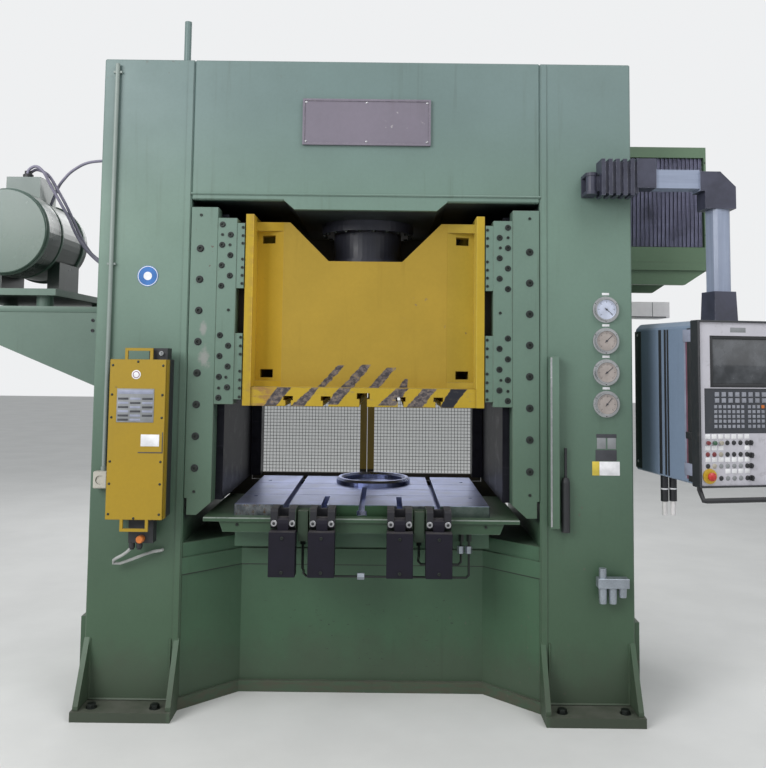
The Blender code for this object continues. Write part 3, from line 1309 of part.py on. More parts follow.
def hinge_half(side, way, low):
    """One barrel with its leaf; way is 1 for the fixed half and -1 for the door's."""
    x, y = side * DOOR_AXIS_X, DOOR_AXIS_Y
    high = low + BARREL_LENGTH
    leaf = box("hinge_leaf", (x, x + side * way * LEAF_WIDTH),
               (GUARD_BACK_Y - LEAF_THICKNESS, GUARD_BACK_Y + LEAF_THICKNESS), (low, high))
    gap = box("hinge_relief", (x - side * way * BARREL_RADIUS, x + side * way * DOOR_GAP),
              (GUARD_BACK_Y - LEAF_THICKNESS - OVERRUN, GUARD_BACK_Y + LEAF_THICKNESS / 3),
              (low - OVERRUN, high + OVERRUN))
    cut(leaf, gap)
    return [leaf, rod("hinge_barrel", (x, y), BARREL_RADIUS, low, high, steps=FINE_STEPS // 2)]


def hinge_levels():
    """Heights of the lower half of each hinge."""
    return (DOOR_BOTTOM + BARREL_INSET, DOOR_TOP - BARREL_INSET - 2 * BARREL_LENGTH)


def guard_frame():
    """The frame of the rear guard, fixed to the backs of the columns."""
    front = BACK_Y + SEAT_GAP
    body = box("guard_frame", (-GUARD_OUTER_X, GUARD_OUTER_X), (front, GUARD_BACK_Y),
               (GUARD_BOTTOM, GUARD_TOP))
    cut(body, box("guard_opening", (-GUARD_INNER_X, GUARD_INNER_X),
                  (front - OVERRUN, GUARD_BACK_Y + OVERRUN),
                  (GUARD_BOTTOM + GUARD_SILL, GUARD_TOP - GUARD_HEAD)))
    for side in (-1, 1):
        for low in hinge_levels():
            fuse(body, *hinge_half(side, 1, low))
    return finish(body, "safety_yellow")


def guard_door(side):
    """One hinged door frame and the mesh panel that it holds."""
    name = "left" if side < 0 else "right"
    front = GUARD_BACK_Y - DOOR_THICKNESS
    outer = side * (GUARD_INNER_X - DOOR_GAP)
    inner = side * DOOR_GAP / 2
    hinge = (side * DOOR_AXIS_X, DOOR_AXIS_Y, (DOOR_BOTTOM + DOOR_TOP) / 2)
    body = box(f"guard_door_{name}", (inner, outer), (front, GUARD_BACK_Y),
               (DOOR_BOTTOM, DOOR_TOP))
    opening = ((inner + side * DOOR_BAR, outer - side * DOOR_BAR),
               (DOOR_BOTTOM + DOOR_BAR, DOOR_TOP - DOOR_BAR))
    cut(body, box("door_opening", opening[0], (front - OVERRUN, GUARD_BACK_Y + OVERRUN),
                  opening[1]))
    for low in hinge_levels():
        fuse(body, *hinge_half(side, -1, low + BARREL_LENGTH + HINGE_GAP))
    finish(body, "safety_yellow", origin=hinge)
    middle = (front + GUARD_BACK_Y) / 2
    half = MESH_THICKNESS / 2
    panel = box(f"guard_mesh_{name}",
                (inner + side * (DOOR_BAR + SEAT_GAP), outer - side * (DOOR_BAR + SEAT_GAP)),
                (middle - half, middle + half),
                (DOOR_BOTTOM + DOOR_BAR + SEAT_GAP, DOOR_TOP - DOOR_BAR - SEAT_GAP))
    return finish(panel, "black_oxide", origin=hinge)


def arm_mount():
    """The wall plate with two lugs that hold the arm's barrel."""
    x, y = ARM_AXIS_X, ARM_AXIS_Y
    low = ARM_BARREL_BOTTOM - HINGE_GAP - LUG_THICKNESS
    high = ARM_BARREL_BOTTOM + ARM_BARREL_HEIGHT + HINGE_GAP + LUG_THICKNESS
    body = box("arm_mount", (x - LUG_RADIUS, x + LUG_RADIUS),
               (FACE_SEAT_Y - WALL_PLATE, FACE_SEAT_Y), (low, high))
    for bottom in (low, high - LUG_THICKNESS):
        top = bottom + LUG_THICKNESS
        shape = ([(x + LUG_RADIUS, FACE_SEAT_Y - WALL_PLATE / 2)]
                 + [(x - LUG_RADIUS, FACE_SEAT_Y - WALL_PLATE / 2)]
                 + arc((x, y), LUG_RADIUS, 180, 360, 10))
        fuse(body, prism("arm_lug", shape, "Z", bottom, top))
    return finish(body, "box_grey")


def swing_arm():
    """The arm: barrel, ribbed knuckle, block, beam and the elbow over the desk."""
    x, y = ARM_AXIS_X, ARM_AXIS_Y
    barrel_top = ARM_BARREL_BOTTOM + ARM_BARREL_HEIGHT
    body = rod("swing_arm", (x, y), ARM_BARREL_RADIUS, ARM_BARREL_BOTTOM, barrel_top,
               steps=FINE_STEPS)
    core = RIB_CORE_INSET
    first = x + RIB_START
    overlap = RIB_THICKNESS / 2
    extras = [
        box("arm_core", (x, first + overlap),
            (y - ARM_BARREL_RADIUS / 2, y + ARM_BARREL_RADIUS / 2),
            (ARM_BARREL_BOTTOM, barrel_top)),
        box("arm_bellows", (first + overlap / 2, KNUCKLE_START_X + overlap),
            (y - RIB_HALF_DEPTH + core, y + RIB_HALF_DEPTH - core),
            (RIB_BOTTOM + core, RIB_TOP - core)),
        box("arm_knuckle", (KNUCKLE_START_X, KNUCKLE_END_X),
            (y - RIB_HALF_DEPTH, y + RIB_HALF_DEPTH), (KNUCKLE_BOTTOM, KNUCKLE_TOP)),
        box("arm_beam", (KNUCKLE_END_X - core, ELBOW_START_X + core),
            (y - BEAM_HALF_DEPTH, y + BEAM_HALF_DEPTH), (BEAM_BOTTOM, BEAM_TOP)),
    ]
    for index in range(RIB_COUNT):
        start = first + index * RIB_PITCH
        extras.append(box("arm_rib", (start, start + RIB_THICKNESS),
                          (y - RIB_HALF_DEPTH, y + RIB_HALF_DEPTH), (RIB_BOTTOM, RIB_TOP)))
    elbow = [(ELBOW_START_X, BEAM_BOTTOM - core), (ELBOW_START_X, ELBOW_TOP),
             (ELBOW_END_X - ELBOW_CHAMFER, ELBOW_TOP),
             (ELBOW_END_X, ELBOW_TOP - ELBOW_CHAMFER),
             (ELBOW_END_X, ELBOW_BOTTOM),
             (ELBOW_START_X + core * 2, ELBOW_BOTTOM),
             (ELBOW_START_X + core * 2, BEAM_BOTTOM - core)]
    extras.append(prism("arm_elbow", elbow, "Y", y - RIB_HALF_DEPTH, y + RIB_HALF_DEPTH))
    return finish(fuse(body, *extras), "aluminium", origin=(x, y, ARM_BARREL_BOTTOM))


def desk_tube():
    """The bevelled down tube and the boot that carries the desk."""
    width, depth, bevel = TUBE_HALF_WIDTH, TUBE_HALF_DEPTH, TUBE_BEVEL
    outline = [(width, -depth + bevel), (width, depth - bevel), (width - bevel, depth),
               (-width + bevel, depth), (-width, depth - bevel), (-width, -depth + bevel),
               (-width + bevel, -depth), (width - bevel, -depth)]
    body = prism("desk_tube", outline, "Z", BOOT_TOP - bevel, ELBOW_BOTTOM - HINGE_GAP)
    foot = DESK_TOP + SEAT_GAP
    boot = rod("desk_boot", (0, 0), BOOT_FOOT_HALF * math.sqrt(2), foot, BOOT_TOP, steps=4,
               top_radius=BOOT_TOP_HALF * math.sqrt(2))
    boot.data.transform(Matrix.Rotation(math.pi / 4, 4, "Z"))
    put_on_desk(boot)
    return put_on_desk(finish(fuse(body, boot), "aluminium"))


def desk_shell():
    """The deep aluminium housing of the desk, with two cable glands below."""
    inset = DESK_SHELL_INSET
    front = -DESK_FRONT + DESK_FRAME
    floor = DESK_BOTTOM + inset
    left, right = -DESK_LEFT + inset, DESK_RIGHT - inset
    bevel = DESK_SHELL_BEVEL
    outline = [(left, floor), (right, floor), (right, DESK_TOP - bevel),
               (right - bevel, DESK_TOP), (left + bevel, DESK_TOP), (left, DESK_TOP - bevel)]
    body = chamfer(prism("desk_shell", outline, "Y", front + SEAT_GAP, DESK_BACK),
                   FRAME_EDGE)
    for place in (0, 1):
        x = GLAND_STUB_X + place * GLAND_STUB_PITCH
        tip = floor - GLAND_STUB_LENGTH
        parts = [rod("desk_gland", (x, GLAND_STUB_Y), GLAND_STUB_RADIUS, tip,
                     floor + inset, steps=FINE_STEPS),
                 rod("desk_gland_end", (x, GLAND_STUB_Y), GLAND_STUB_TIP,
                     tip - GLAND_STUB_TIP_LENGTH, tip + inset, steps=FINE_STEPS)]
        fuse(body, *[put_on_desk(part) for part in parts])
    return put_on_desk(finish(body, "aluminium"))


def desk_front():
    """The front frame with its recessed panel, screen and key fields."""
    front, back = -DESK_FRONT, -DESK_FRONT + DESK_FRAME
    body = chamfer(box("desk_front", (-DESK_LEFT, DESK_RIGHT), (front, back),
                       (DESK_BOTTOM, DESK_TOP)), SLIDE_GAP * 2)
    rim = DESK_RIM
    fields = [((-DESK_LEFT + rim, DESK_RIGHT - rim), DESK_PANEL_RECESS,
               (DESK_BOTTOM + rim, DESK_TOP - rim)),
              ((SCREEN_LEFT, SCREEN_RIGHT), DESK_PANEL_RECESS + SCREEN_RECESS,
               (SCREEN_BOTTOM, SCREEN_TOP)),
              ((KEYS_LEFT, KEYS_RIGHT), DESK_PANEL_RECESS + KEYS_RECESS,
               (KEYS_BOTTOM, KEYS_TOP))]
    cut(body, *[put_on_desk(box("desk_field", x, (front - OVERRUN, front + depth), z))
                for x, depth, z in fields])
    collar = rod("stop_collar", (STOP_X, STOP_Z), STOP_COLLAR_RADIUS,
                 DESK_PANEL_Y - STOP_COLLAR_THICKNESS, DESK_PANEL_Y + SLIDE_GAP, axis="Y")
    fuse(body, put_on_desk(collar))
    floor = DESK_PANEL_Y + BUTTON_STEM_LENGTH + BUTTON_STROKE
    seats = [(STOP_X, STOP_Z, STOP_STEM_RADIUS)]
    seats += [(BUTTON_X + place * BUTTON_PITCH, BUTTON_Z, BUTTON_STEM_RADIUS)
              for place in range(3)]
    cut(body, *[put_on_desk(rod("control_hole", (x, z), radius + HINGE_GAP,
                                front - OVERRUN, floor, axis="Y", steps=FINE_STEPS))
                for x, z, radius in seats])
    return put_on_desk(finish(body, "box_grey"))


def desk_grip():
    """The bent grab bar below the desk's front."""
    y = -DESK_FRONT + DESK_FRAME / 2
    low = DESK_BOTTOM - SEAT_GAP
    out, drop = GRIP_OUT, GRIP_DROP
    corner = GRIP_RADIUS
    route = [(GRIP_LEFT, y, low), (GRIP_LEFT, y, low - corner),
             (GRIP_LEFT, y - out + corner, low - drop), (GRIP_LEFT + corner, y - out, low - drop),
             (GRIP_RIGHT - corner, y - out, low - drop),
             (GRIP_RIGHT, y - out + corner, low - drop), (GRIP_RIGHT, y, low - corner),
             (GRIP_RIGHT, y, low)]
    return put_on_desk(finish(tube("desk_grip", route, GRIP_RADIUS), "black_oxide"))


def stop_button():
    """The emergency stop: a domed mushroom on its stem."""
    seat = -(DESK_PANEL_Y - STOP_COLLAR_THICKNESS) + BUTTON_STROKE
    top = seat + STOP_HEIGHT
    rim = seat + STOP_HEIGHT / 3
    stem = seat - BUTTON_STROKE - BUTTON_STEM_LENGTH
    profile = [(0, top), (STOP_RADIUS * 0.6, top - STOP_HEIGHT / 8),
               (STOP_RADIUS, top - STOP_HEIGHT / 2.5), (STOP_RADIUS, rim),
               (STOP_STEM_RADIUS, rim), (STOP_STEM_RADIUS, stem), (0, stem)]
    body = turned("stop_button", [(r, h - seat) for r, h in profile], (0, 0, 0), axis="Y",
                  steps=FINE_STEPS)
    finish(body, "signal_red", smooth=True)
    return place_on_panel(body, STOP_X, -seat, STOP_Z)


def place_on_panel(obj, x, y, z):
    """Stand a turned control on the desk's panel, its axis facing the operator."""
    put_on_desk(obj, (x, y, z))
    obj.matrix_world = obj.matrix_world @ Matrix.Rotation(math.pi / 2, 4, "X")
    return obj


def push_button(name, colour, place):
    """A push button that stands off the panel by its stroke."""
    edge = BUTTON_RADIUS / 5
    profile = [(0, BUTTON_HEIGHT), (BUTTON_RADIUS - edge, BUTTON_HEIGHT),
               (BUTTON_RADIUS, BUTTON_HEIGHT - edge), (BUTTON_RADIUS, 0),
               (BUTTON_STEM_RADIUS, 0), (BUTTON_STEM_RADIUS, -BUTTON_STEM_LENGTH),
               (0, -BUTTON_STEM_LENGTH)]
    body = finish(turned(name, profile, (0, 0, 0), axis="Y", steps=FINE_STEPS // 2 + 6),
                  colour, smooth=True)
    return place_on_panel(body, BUTTON_X + place * BUTTON_PITCH,
                          DESK_PANEL_Y - BUTTON_STROKE, BUTTON_Z)


def knob(name, z):
    """A rotary selector with a raised finger bar."""
    half = KNOB_HEIGHT / 2
    body = rod(name, (0, 0), KNOB_RADIUS, 0, half, steps=FINE_STEPS)
    bar = box("knob_bar", (-KNOB_RADIUS / 3, KNOB_RADIUS / 3),
              (-KNOB_RADIUS * 0.9, KNOB_RADIUS * 0.9), (half / 2, KNOB_HEIGHT))
    place_on_panel(bar, KNOB_X, DESK_PANEL_Y - SEAT_GAP, z)
    finish(fuse(body, bar), "black_oxide")
    return place_on_panel(body, KNOB_X, DESK_PANEL_Y - SEAT_GAP, z)


def build():
    """Make every sub-part of the press."""
    column("column_left", -1)
    column("column_right", 1)
    crown()
    name_plate()
    bed()
    bolster()
    bolster_ring()
    shelf()
    for side, word in ((-1, "left"), (1, "right")):
        slideway_housing(f"slideway_{word}", side)
        guide_plate(f"guide_plate_{word}", side)
        gib_plate(f"gib_plate_{word}", side)
        console_bracket(f"console_bracket_{word}", side)
        guard_door(side)
    main_cylinder()
    ram_rod()
    ram()
    for index, place in enumerate((-2, -1, 1, 2)):
        console(f"console_{index + 1}", place * SLOT_PITCH)
    hydraulic_line("lower_line", -1.5 * SLOT_PITCH, LOWER_LINE_Z, LOWER_LINE_END_X, 0)
    hydraulic_line("upper_line", 1.5 * SLOT_PITCH, UPPER_LINE_Z, UPPER_LINE_END_X, None)
    curtain_case()
    curtain_cover()
    switch_key()
    receiver()
    side_sleeve()
    signal_cable()
    for index in range(GAUGE_COUNT):
        gauge(index)
    conduit()
    air_unit()
    motor_bracket()
    motor_base()
    motor()
    cooler_bracket()
    cooler()
    side_box()
    guard_frame()
    arm_mount()
    swing_arm()
    desk_tube()
    desk_shell()
    desk_front()
    desk_grip()
    stop_button()
    for place, colour in enumerate(("red", "green", "cream")):
        push_button(f"button_{colour}", f"signal_{colour}", place)
    knob("knob_upper", KNOB_HIGH_Z)
    knob("knob_lower", KNOB_LOW_Z)


build()
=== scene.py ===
"""Looks of the hydraulic press: enamel, steel, fasteners, controls, stage and camera."""
import json
import math

import bmesh
import bpy
from mathutils import Matrix, Vector

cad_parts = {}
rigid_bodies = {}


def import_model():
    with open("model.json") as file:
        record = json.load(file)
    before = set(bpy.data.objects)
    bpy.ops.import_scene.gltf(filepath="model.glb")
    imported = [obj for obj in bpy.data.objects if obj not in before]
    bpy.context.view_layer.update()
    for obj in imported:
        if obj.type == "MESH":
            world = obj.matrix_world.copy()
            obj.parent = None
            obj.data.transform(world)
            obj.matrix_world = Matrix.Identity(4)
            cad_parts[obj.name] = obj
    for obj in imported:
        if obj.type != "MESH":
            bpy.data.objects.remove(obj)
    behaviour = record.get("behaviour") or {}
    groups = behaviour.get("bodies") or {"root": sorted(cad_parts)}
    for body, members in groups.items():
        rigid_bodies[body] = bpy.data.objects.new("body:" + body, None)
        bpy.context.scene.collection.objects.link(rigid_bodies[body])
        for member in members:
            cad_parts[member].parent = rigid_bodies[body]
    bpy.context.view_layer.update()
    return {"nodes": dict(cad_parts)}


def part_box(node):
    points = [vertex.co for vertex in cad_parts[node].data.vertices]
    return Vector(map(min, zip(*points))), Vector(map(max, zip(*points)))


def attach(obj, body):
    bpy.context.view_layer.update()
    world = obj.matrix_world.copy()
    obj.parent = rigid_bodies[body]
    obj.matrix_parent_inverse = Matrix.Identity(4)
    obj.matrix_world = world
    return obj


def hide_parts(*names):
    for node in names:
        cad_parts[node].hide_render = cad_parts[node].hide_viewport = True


bl_info = {
    "name": "Hydraulic press looks",
    "version": (1, 0, 0),
    "blender": (4, 5, 0),
    "location": "View3D > Sidebar > Press",
    "description": "Dresses the packed press with its finishes, fasteners and controls",
    "category": "Object",
}

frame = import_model()

# Places that the packed model fixes
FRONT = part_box("guide_plate_left")[0].y
CONSOLES = (-0.375, -0.1875, 0.1875, 0.375)
EAR_OFFSET = 0.044
DESK_YAW = math.radians(11.0)
DESK_AXIS = Vector((1.740, -0.640, 0.0))
DESK_PLACE = Matrix.Translation(DESK_AXIS) @ Matrix.Rotation(DESK_YAW, 4, "Z")
DESK_OUT = DESK_PLACE.to_3x3() @ Vector((0, -1, 0))
DESK_PANEL = -0.165
DESK_LEFT, DESK_RIGHT = -0.212, 0.266
FORWARD, BACKWARD = Vector((0, -1, 0)), Vector((0, 1, 0))
UP, DOWN = Vector((0, 0, 1)), Vector((0, 0, -1))
RIGHT, LEFT = Vector((1, 0, 0)), Vector((-1, 0, 0))
SKIN_GAP = 0.0002    # between a plate and what it lies on


def colour_setting(name, description, default):
    return bpy.props.FloatVectorProperty(name=name, description=description, subtype="COLOR",
                                         size=3, min=0.0, max=1.0, default=default)


def length_setting(name, description, default):
    return bpy.props.FloatProperty(name=name, description=description, unit="LENGTH",
                                   default=default, min=0.0005, max=2.0)


class PressColours(bpy.types.PropertyGroup):
    """Colours of the press's finishes."""

    enamel: colour_setting("Enamel", "Green of the frame", (0.140, 0.218, 0.176))
    enamel_low: colour_setting("Lower enamel", "Green near the floor", (0.047, 0.094, 0.052))
    yellow: colour_setting("Yellow", "Ram, cover and guard", (0.42, 0.285, 0.024))
    stripe: colour_setting("Stripe", "Worn dark stripes on the ram", (0.050, 0.044, 0.050))
    table: colour_setting("Table steel", "Bare machined steel", (0.30, 0.34, 0.54))
    slide: colour_setting("Slide steel", "Oiled slideways", (0.028, 0.028, 0.036))
    dark: colour_setting("Dark finish", "Blackened steel and housings", (0.022, 0.024, 0.029))
    shell: colour_setting("Shell", "Blue-grey of the desk", (0.165, 0.215, 0.30))
    panel: colour_setting("Panel", "Pale front of the desk", (0.52, 0.51, 0.56))
    plate: colour_setting("Plate", "Cast plate on the crown", (0.17, 0.15, 0.19))
    arm: colour_setting("Arm", "Pale profiles of the swing arm", (0.26, 0.30, 0.40))
    rubber: colour_setting("Rubber", "Bellows and mouldings of the arm", (0.040, 0.042, 0.066))


class PressSizes(bpy.types.PropertyGroup):
    """Sizes of what the looks add."""

    large_screw: length_setting("Large screw", "Head radius on the guide plates", 0.0150)
    small_screw: length_setting("Small screw", "Head radius on the gib plates", 0.0125)
    tiny_screw: length_setting("Tiny screw", "Head radius on strips and the shelf", 0.0072)
    wire: length_setting("Guard wire", "Radius of the guard's wires", 0.0013)
    wire_pitch: length_setting("Wire pitch", "Spacing of the guard's wires", 0.020)
    fin_pitch: length_setting("Fin pitch", "Spacing of the cooler's fins", 0.0075)
    bead: length_setting("Weld bead", "Radius of the weld beads", 0.006)


class StageSettings(bpy.types.PropertyGroup):
    """Floor, light and camera."""

    floor: colour_setting("Floor", "Pale floor", (0.70, 0.70, 0.69))
    key_power: bpy.props.FloatProperty(name="Key light", description="Watts of the key lamp",
                                       default=315.0, min=0.0)
    world: bpy.props.FloatProperty(name="World", description="Strength of the sky light",
                                   default=0.50, min=0.0)
    lens: bpy.props.FloatProperty(name="Lens", description="Focal length in millimetres",
                                  default=39.4, min=10.0)


# ---- node writing


class Graph:
    """A node tree written from left to right."""

    def __init__(self, tree):
        self.tree = tree

    def add(self, kind, inputs=None, **settings):
        node = self.tree.nodes.new(kind)
        for key, value in settings.items():
            setattr(node, key, value)
        for key, value in (inputs or {}).items():
            self.feed(node.inputs[key], value)
        return node

    def feed(self, socket, value):
        if isinstance(value, bpy.types.NodeSocket):
            self.tree.links.new(value, socket)
        elif isinstance(value, (tuple, list)) and len(value) == 3 and socket.type == "RGBA":
            socket.default_value = (*value, 1.0)
        else:
            socket.default_value = value

    def math(self, operation, first, second=0.0, clamp=False):
        return self.add("ShaderNodeMath", {0: first, 1: second}, operation=operation,
                        use_clamp=clamp).outputs[0]

    def plus(self, first, second, clamp=False):
        return self.math("ADD", first, second, clamp)

    def less(self, first, second, clamp=False):
        return self.math("SUBTRACT", first, second, clamp)

    def top(self, first, second):
        return self.math("MAXIMUM", first, second)

    def size(self, value):
        return self.math("ABSOLUTE", value)

    def times(self, *masks, clamp=False):
        """The product of masks or values, held to 0..1 at the end if asked."""
        result = masks[0]
        for index, mask in enumerate(masks[1:], 2):
            result = self.math("MULTIPLY", result, mask, clamp and index == len(masks))
        return result

    def vector_math(self, operation, first, second, output=0):
        return self.add("ShaderNodeVectorMath", {0: first, 1: second},
                        operation=operation).outputs[output]

    def stretch(self, vector, scale):
        return self.vector_math("MULTIPLY", vector, scale)

    def gap(self, vector, scale, spot):
        """Distance from a spot, measured in a stretched space."""
        return self.vector_math("DISTANCE", self.stretch(vector, scale), spot, "Value")

    def blend(self, share, first, second, way="MIX"):
        return self.add("ShaderNodeMix", {0: share, 6: first, 7: second}, data_type="RGBA",
                        blend_type=way).outputs[2]

    def noise(self, vector, scale, detail=4.0, rough=0.55):
        return self.add("ShaderNodeTexNoise", {"Vector": vector, "Scale": scale, "Detail": detail,
                                               "Roughness": rough}).outputs["Fac"]

    def remap(self, value, low, high, to_low=0.0, to_high=1.0, soft=True):
        return self.add("ShaderNodeMapRange", {
            "Value": value, "From Min": low, "From Max": high, "To Min": to_low,
            "To Max": to_high}, interpolation_type="SMOOTHSTEP" if soft else "LINEAR").outputs[0]

    def clouds(self, vector, scale, detail, rough, low, high, *span):
        """Noise with soft steps between two levels."""
        return self.remap(self.noise(vector, scale, detail, rough), low, high, *span)

    def split(self, vector):
        return self.add("ShaderNodeSeparateXYZ", {0: vector}).outputs

    def within(self, value, low, high, edge=0.0008):
        """A mask that is 1 between two limits."""
        rise = self.remap(value, low - edge, low + edge, soft=False)
        fall = self.remap(value, high - edge, high + edge, 1.0, 0.0, soft=False)
        return self.times(rise, fall)

    def group(self, name, inputs):
        node = self.add("ShaderNodeGroup")
        node.node_tree = bpy.data.node_groups.get(name) or GROUPS[name]()
        for key, value in inputs.items():
            self.feed(node.inputs[key], value)
        return node.outputs


FLOAT, VECTOR = "NodeSocketFloat", "NodeSocketVector"
GROUPS = {}


def shared(*outputs, **inputs):
    """Keep a function as the maker of a shader group with a Vector and named inputs."""
    def keep(fill):
        def build():
            tree = bpy.data.node_groups.new(fill.__name__, "ShaderNodeTree")
            for label, value in {"Vector": None, **inputs}.items():
                kind = FLOAT if isinstance(value, float) else VECTOR
                socket = tree.interface.new_socket(name=label, in_out="INPUT", socket_type=kind)
                if value is not None:
                    socket.default_value = value
            for label in outputs:
                tree.interface.new_socket(name=label, in_out="OUTPUT", socket_type=FLOAT)
            graph = Graph(tree)
            results = fill(graph, graph.add("NodeGroupInput").outputs)
            sockets = graph.add("NodeGroupOutput").inputs
            for label, result in zip(outputs, results):
                graph.feed(sockets[label], result)
            return tree
        GROUPS[fill.__name__] = build
        return fill
    return keep


@shared("Mask", Radius=0.004, Amount=0.5, Break=30.0)
def worn_edges(graph, given):
    """Mask of sharp corners where a finish has rubbed through."""
    soft = graph.add("ShaderNodeBevel", {"Radius": given["Radius"]}, samples=4)
    true = graph.add("ShaderNodeNewGeometry").outputs["Normal"]
    edge = graph.remap(graph.vector_math("DOT_PRODUCT", soft.outputs[0], true, "Value"),
                       0.985, 0.86)
    patchy = graph.clouds(given["Vector"], given["Break"], 5.0, 0.7, 0.38, 0.62)
    return [graph.times(edge, patchy, given["Amount"], clamp=True)]


@shared("Mask", Low=0.0, High=0.6, Scale=6.0, Amount=0.5)
def settled_dirt(graph, given):
    """Mask of grime that thickens towards the floor and gathers in clouds."""
    near = graph.add("ShaderNodeMapRange", {
        "Value": graph.split(given["Vector"])[2], "From Min": given["Low"],
        "From Max": given["High"], "To Min": 1.0, "To Max": 0.0}).outputs[0]
    cloud = graph.noise(given["Vector"], given["Scale"], 6.0, 0.65)
    lifted = graph.plus(near, graph.less(cloud, 0.55))
    return [graph.times(graph.remap(lifted, 0.05, 0.75), given["Amount"], clamp=True)]


@shared("Mask", Width=28.0, Amount=0.3)
def runs(graph, given):
    """Mask of vertical streaks left by oil and condensation."""
    long = graph.stretch(given["Vector"], (1.0, 1.0, 0.045))
    streak = graph.clouds(long, given["Width"], 3.0, 0.6, 0.56, 0.76)
    fade = graph.clouds(given["Vector"], 2.2, 3.0, 0.5, 0.40, 0.66)
    return [graph.times(streak, fade, given["Amount"], clamp=True)]


@shared("Mask", Scale=22.0, Amount=0.5)
def chips(graph, given):
    """Mask of small knocks in a coat of enamel."""
    drift = graph.add("ShaderNodeTexNoise", {"Vector": given["Vector"], "Scale": 40.0})
    bent = graph.vector_math("ADD", given["Vector"],
                             graph.stretch(drift.outputs["Color"], (0.03, 0.03, 0.03)))
    cells = graph.add("ShaderNodeTexVoronoi", {"Vector": bent, "Scale": given["Scale"]})
    spot = graph.remap(cells.outputs["Distance"], 0.16, 0.09)
    rare = graph.clouds(given["Vector"], 1.7, 4.0, 0.7, 0.56, 0.66)
    return [graph.times(spot, rare, given["Amount"], clamp=True)]


@shared("Height", Grain=260.0, Wave=3.0)
def sprayed_skin(graph, given):
    """Height of sprayed enamel over rolled plate: orange peel on shallow waves."""
    peel = graph.noise(given["Vector"], given["Grain"], 2.0, 0.5)
    wave = graph.noise(given["Vector"], given["Wave"], 2.0, 0.4)
    return [graph.plus(graph.times(peel, 0.18), graph.times(wave, 1.6))]


@shared("Height", "Tone", Along=(3.0, 240.0, 240.0), Scratches=0.5)
def tool_marks(graph, given):
    """Fine parallel marks of machining, as a height and as a tone."""
    fine = graph.noise(graph.stretch(given["Vector"], given["Along"]), 1.0, 3.0, 0.6)
    turned = graph.add("ShaderNodeMapping", {
        "Vector": given["Vector"], "Rotation": (0.0, 0.0, 0.7),
        "Scale": (4.0, 190.0, 60.0)}).outputs[0]
    marks = graph.times(graph.clouds(turned, 1.0, 2.0, 0.5, 0.66, 0.70), given["Scratches"])
    cloud = graph.noise(given["Vector"], 5.0, 5.0, 0.65)
    tone = graph.plus(graph.times(cloud, 0.65), graph.times(marks, 0.4))
    return [graph.less(fine, marks), graph.plus(graph.times(fine, 0.35), tone)]


@shared("Mask", Amount=0.5)
def lying_dust(graph, given):
    """Mask of dust on faces that look upwards."""
    up = graph.split(graph.add("ShaderNodeNewGeometry").outputs["Normal"])[2]
    cloud = graph.clouds(given["Vector"], 9.0, 6.0, 0.7, 0.30, 0.70, 0.35, 1.0)
    return [graph.times(graph.remap(up, 0.55, 0.95), cloud, given["Amount"], clamp=True)]


# ---- materials


def scaled(colour, factor):
    return tuple(min(1.0, c * factor) for c in colour)


class Coat(Graph):
    """A material in the making: its shader, its place and its colour so far."""

    def __init__(self, name):
        self.made = bpy.data.materials.new("look_" + name)
        self.made.use_nodes = True
        super().__init__(self.made.node_tree)
        self.shader = self.tree.nodes["Principled BSDF"]
        self.place = self.add("ShaderNodeTexCoord").outputs["Object"]
        self.base = None

    def lay(self, mask, colour):
        """Cover the colour so far where the mask is 1."""
        self.base = self.blend(mask, self.base, colour)

    def tint(self, mask, colour):
        """Multiply the colour so far where the mask is 1."""
        self.lay(mask, self.blend(1.0, self.base, colour, "MULTIPLY"))

    def axes(self):
        return self.split(self.place)

    def patch(self, scale, detail, rough, low, high, *span, stretch=None):
        """Clouds in the material's own place, stretched if asked."""
        place = self.stretch(self.place, stretch) if stretch else self.place
        return self.clouds(place, scale, detail, rough, low, high, *span)

    def effect(self, name, amount, **values):
        """The mask of a shared effect."""
        return self.group(name, {"Vector": self.place, "Amount": amount, **values})["Mask"]

    def close(self, rough, height, distance, strength, plain=None):
        """Wire colour, roughness and relief to the shader, and set its plain values."""
        self.feed(self.shader.inputs["Base Color"], self.base)
        self.feed(self.shader.inputs["Roughness"], rough)
        for label, value in (plain or {}).items():
            self.shader.inputs[label].default_value = value
        bump = self.add("ShaderNodeBump", {"Height": height, "Distance": distance,
                                           "Strength": strength})
        self.feed(self.shader.inputs["Normal"], bump.outputs[0])
        return self.made


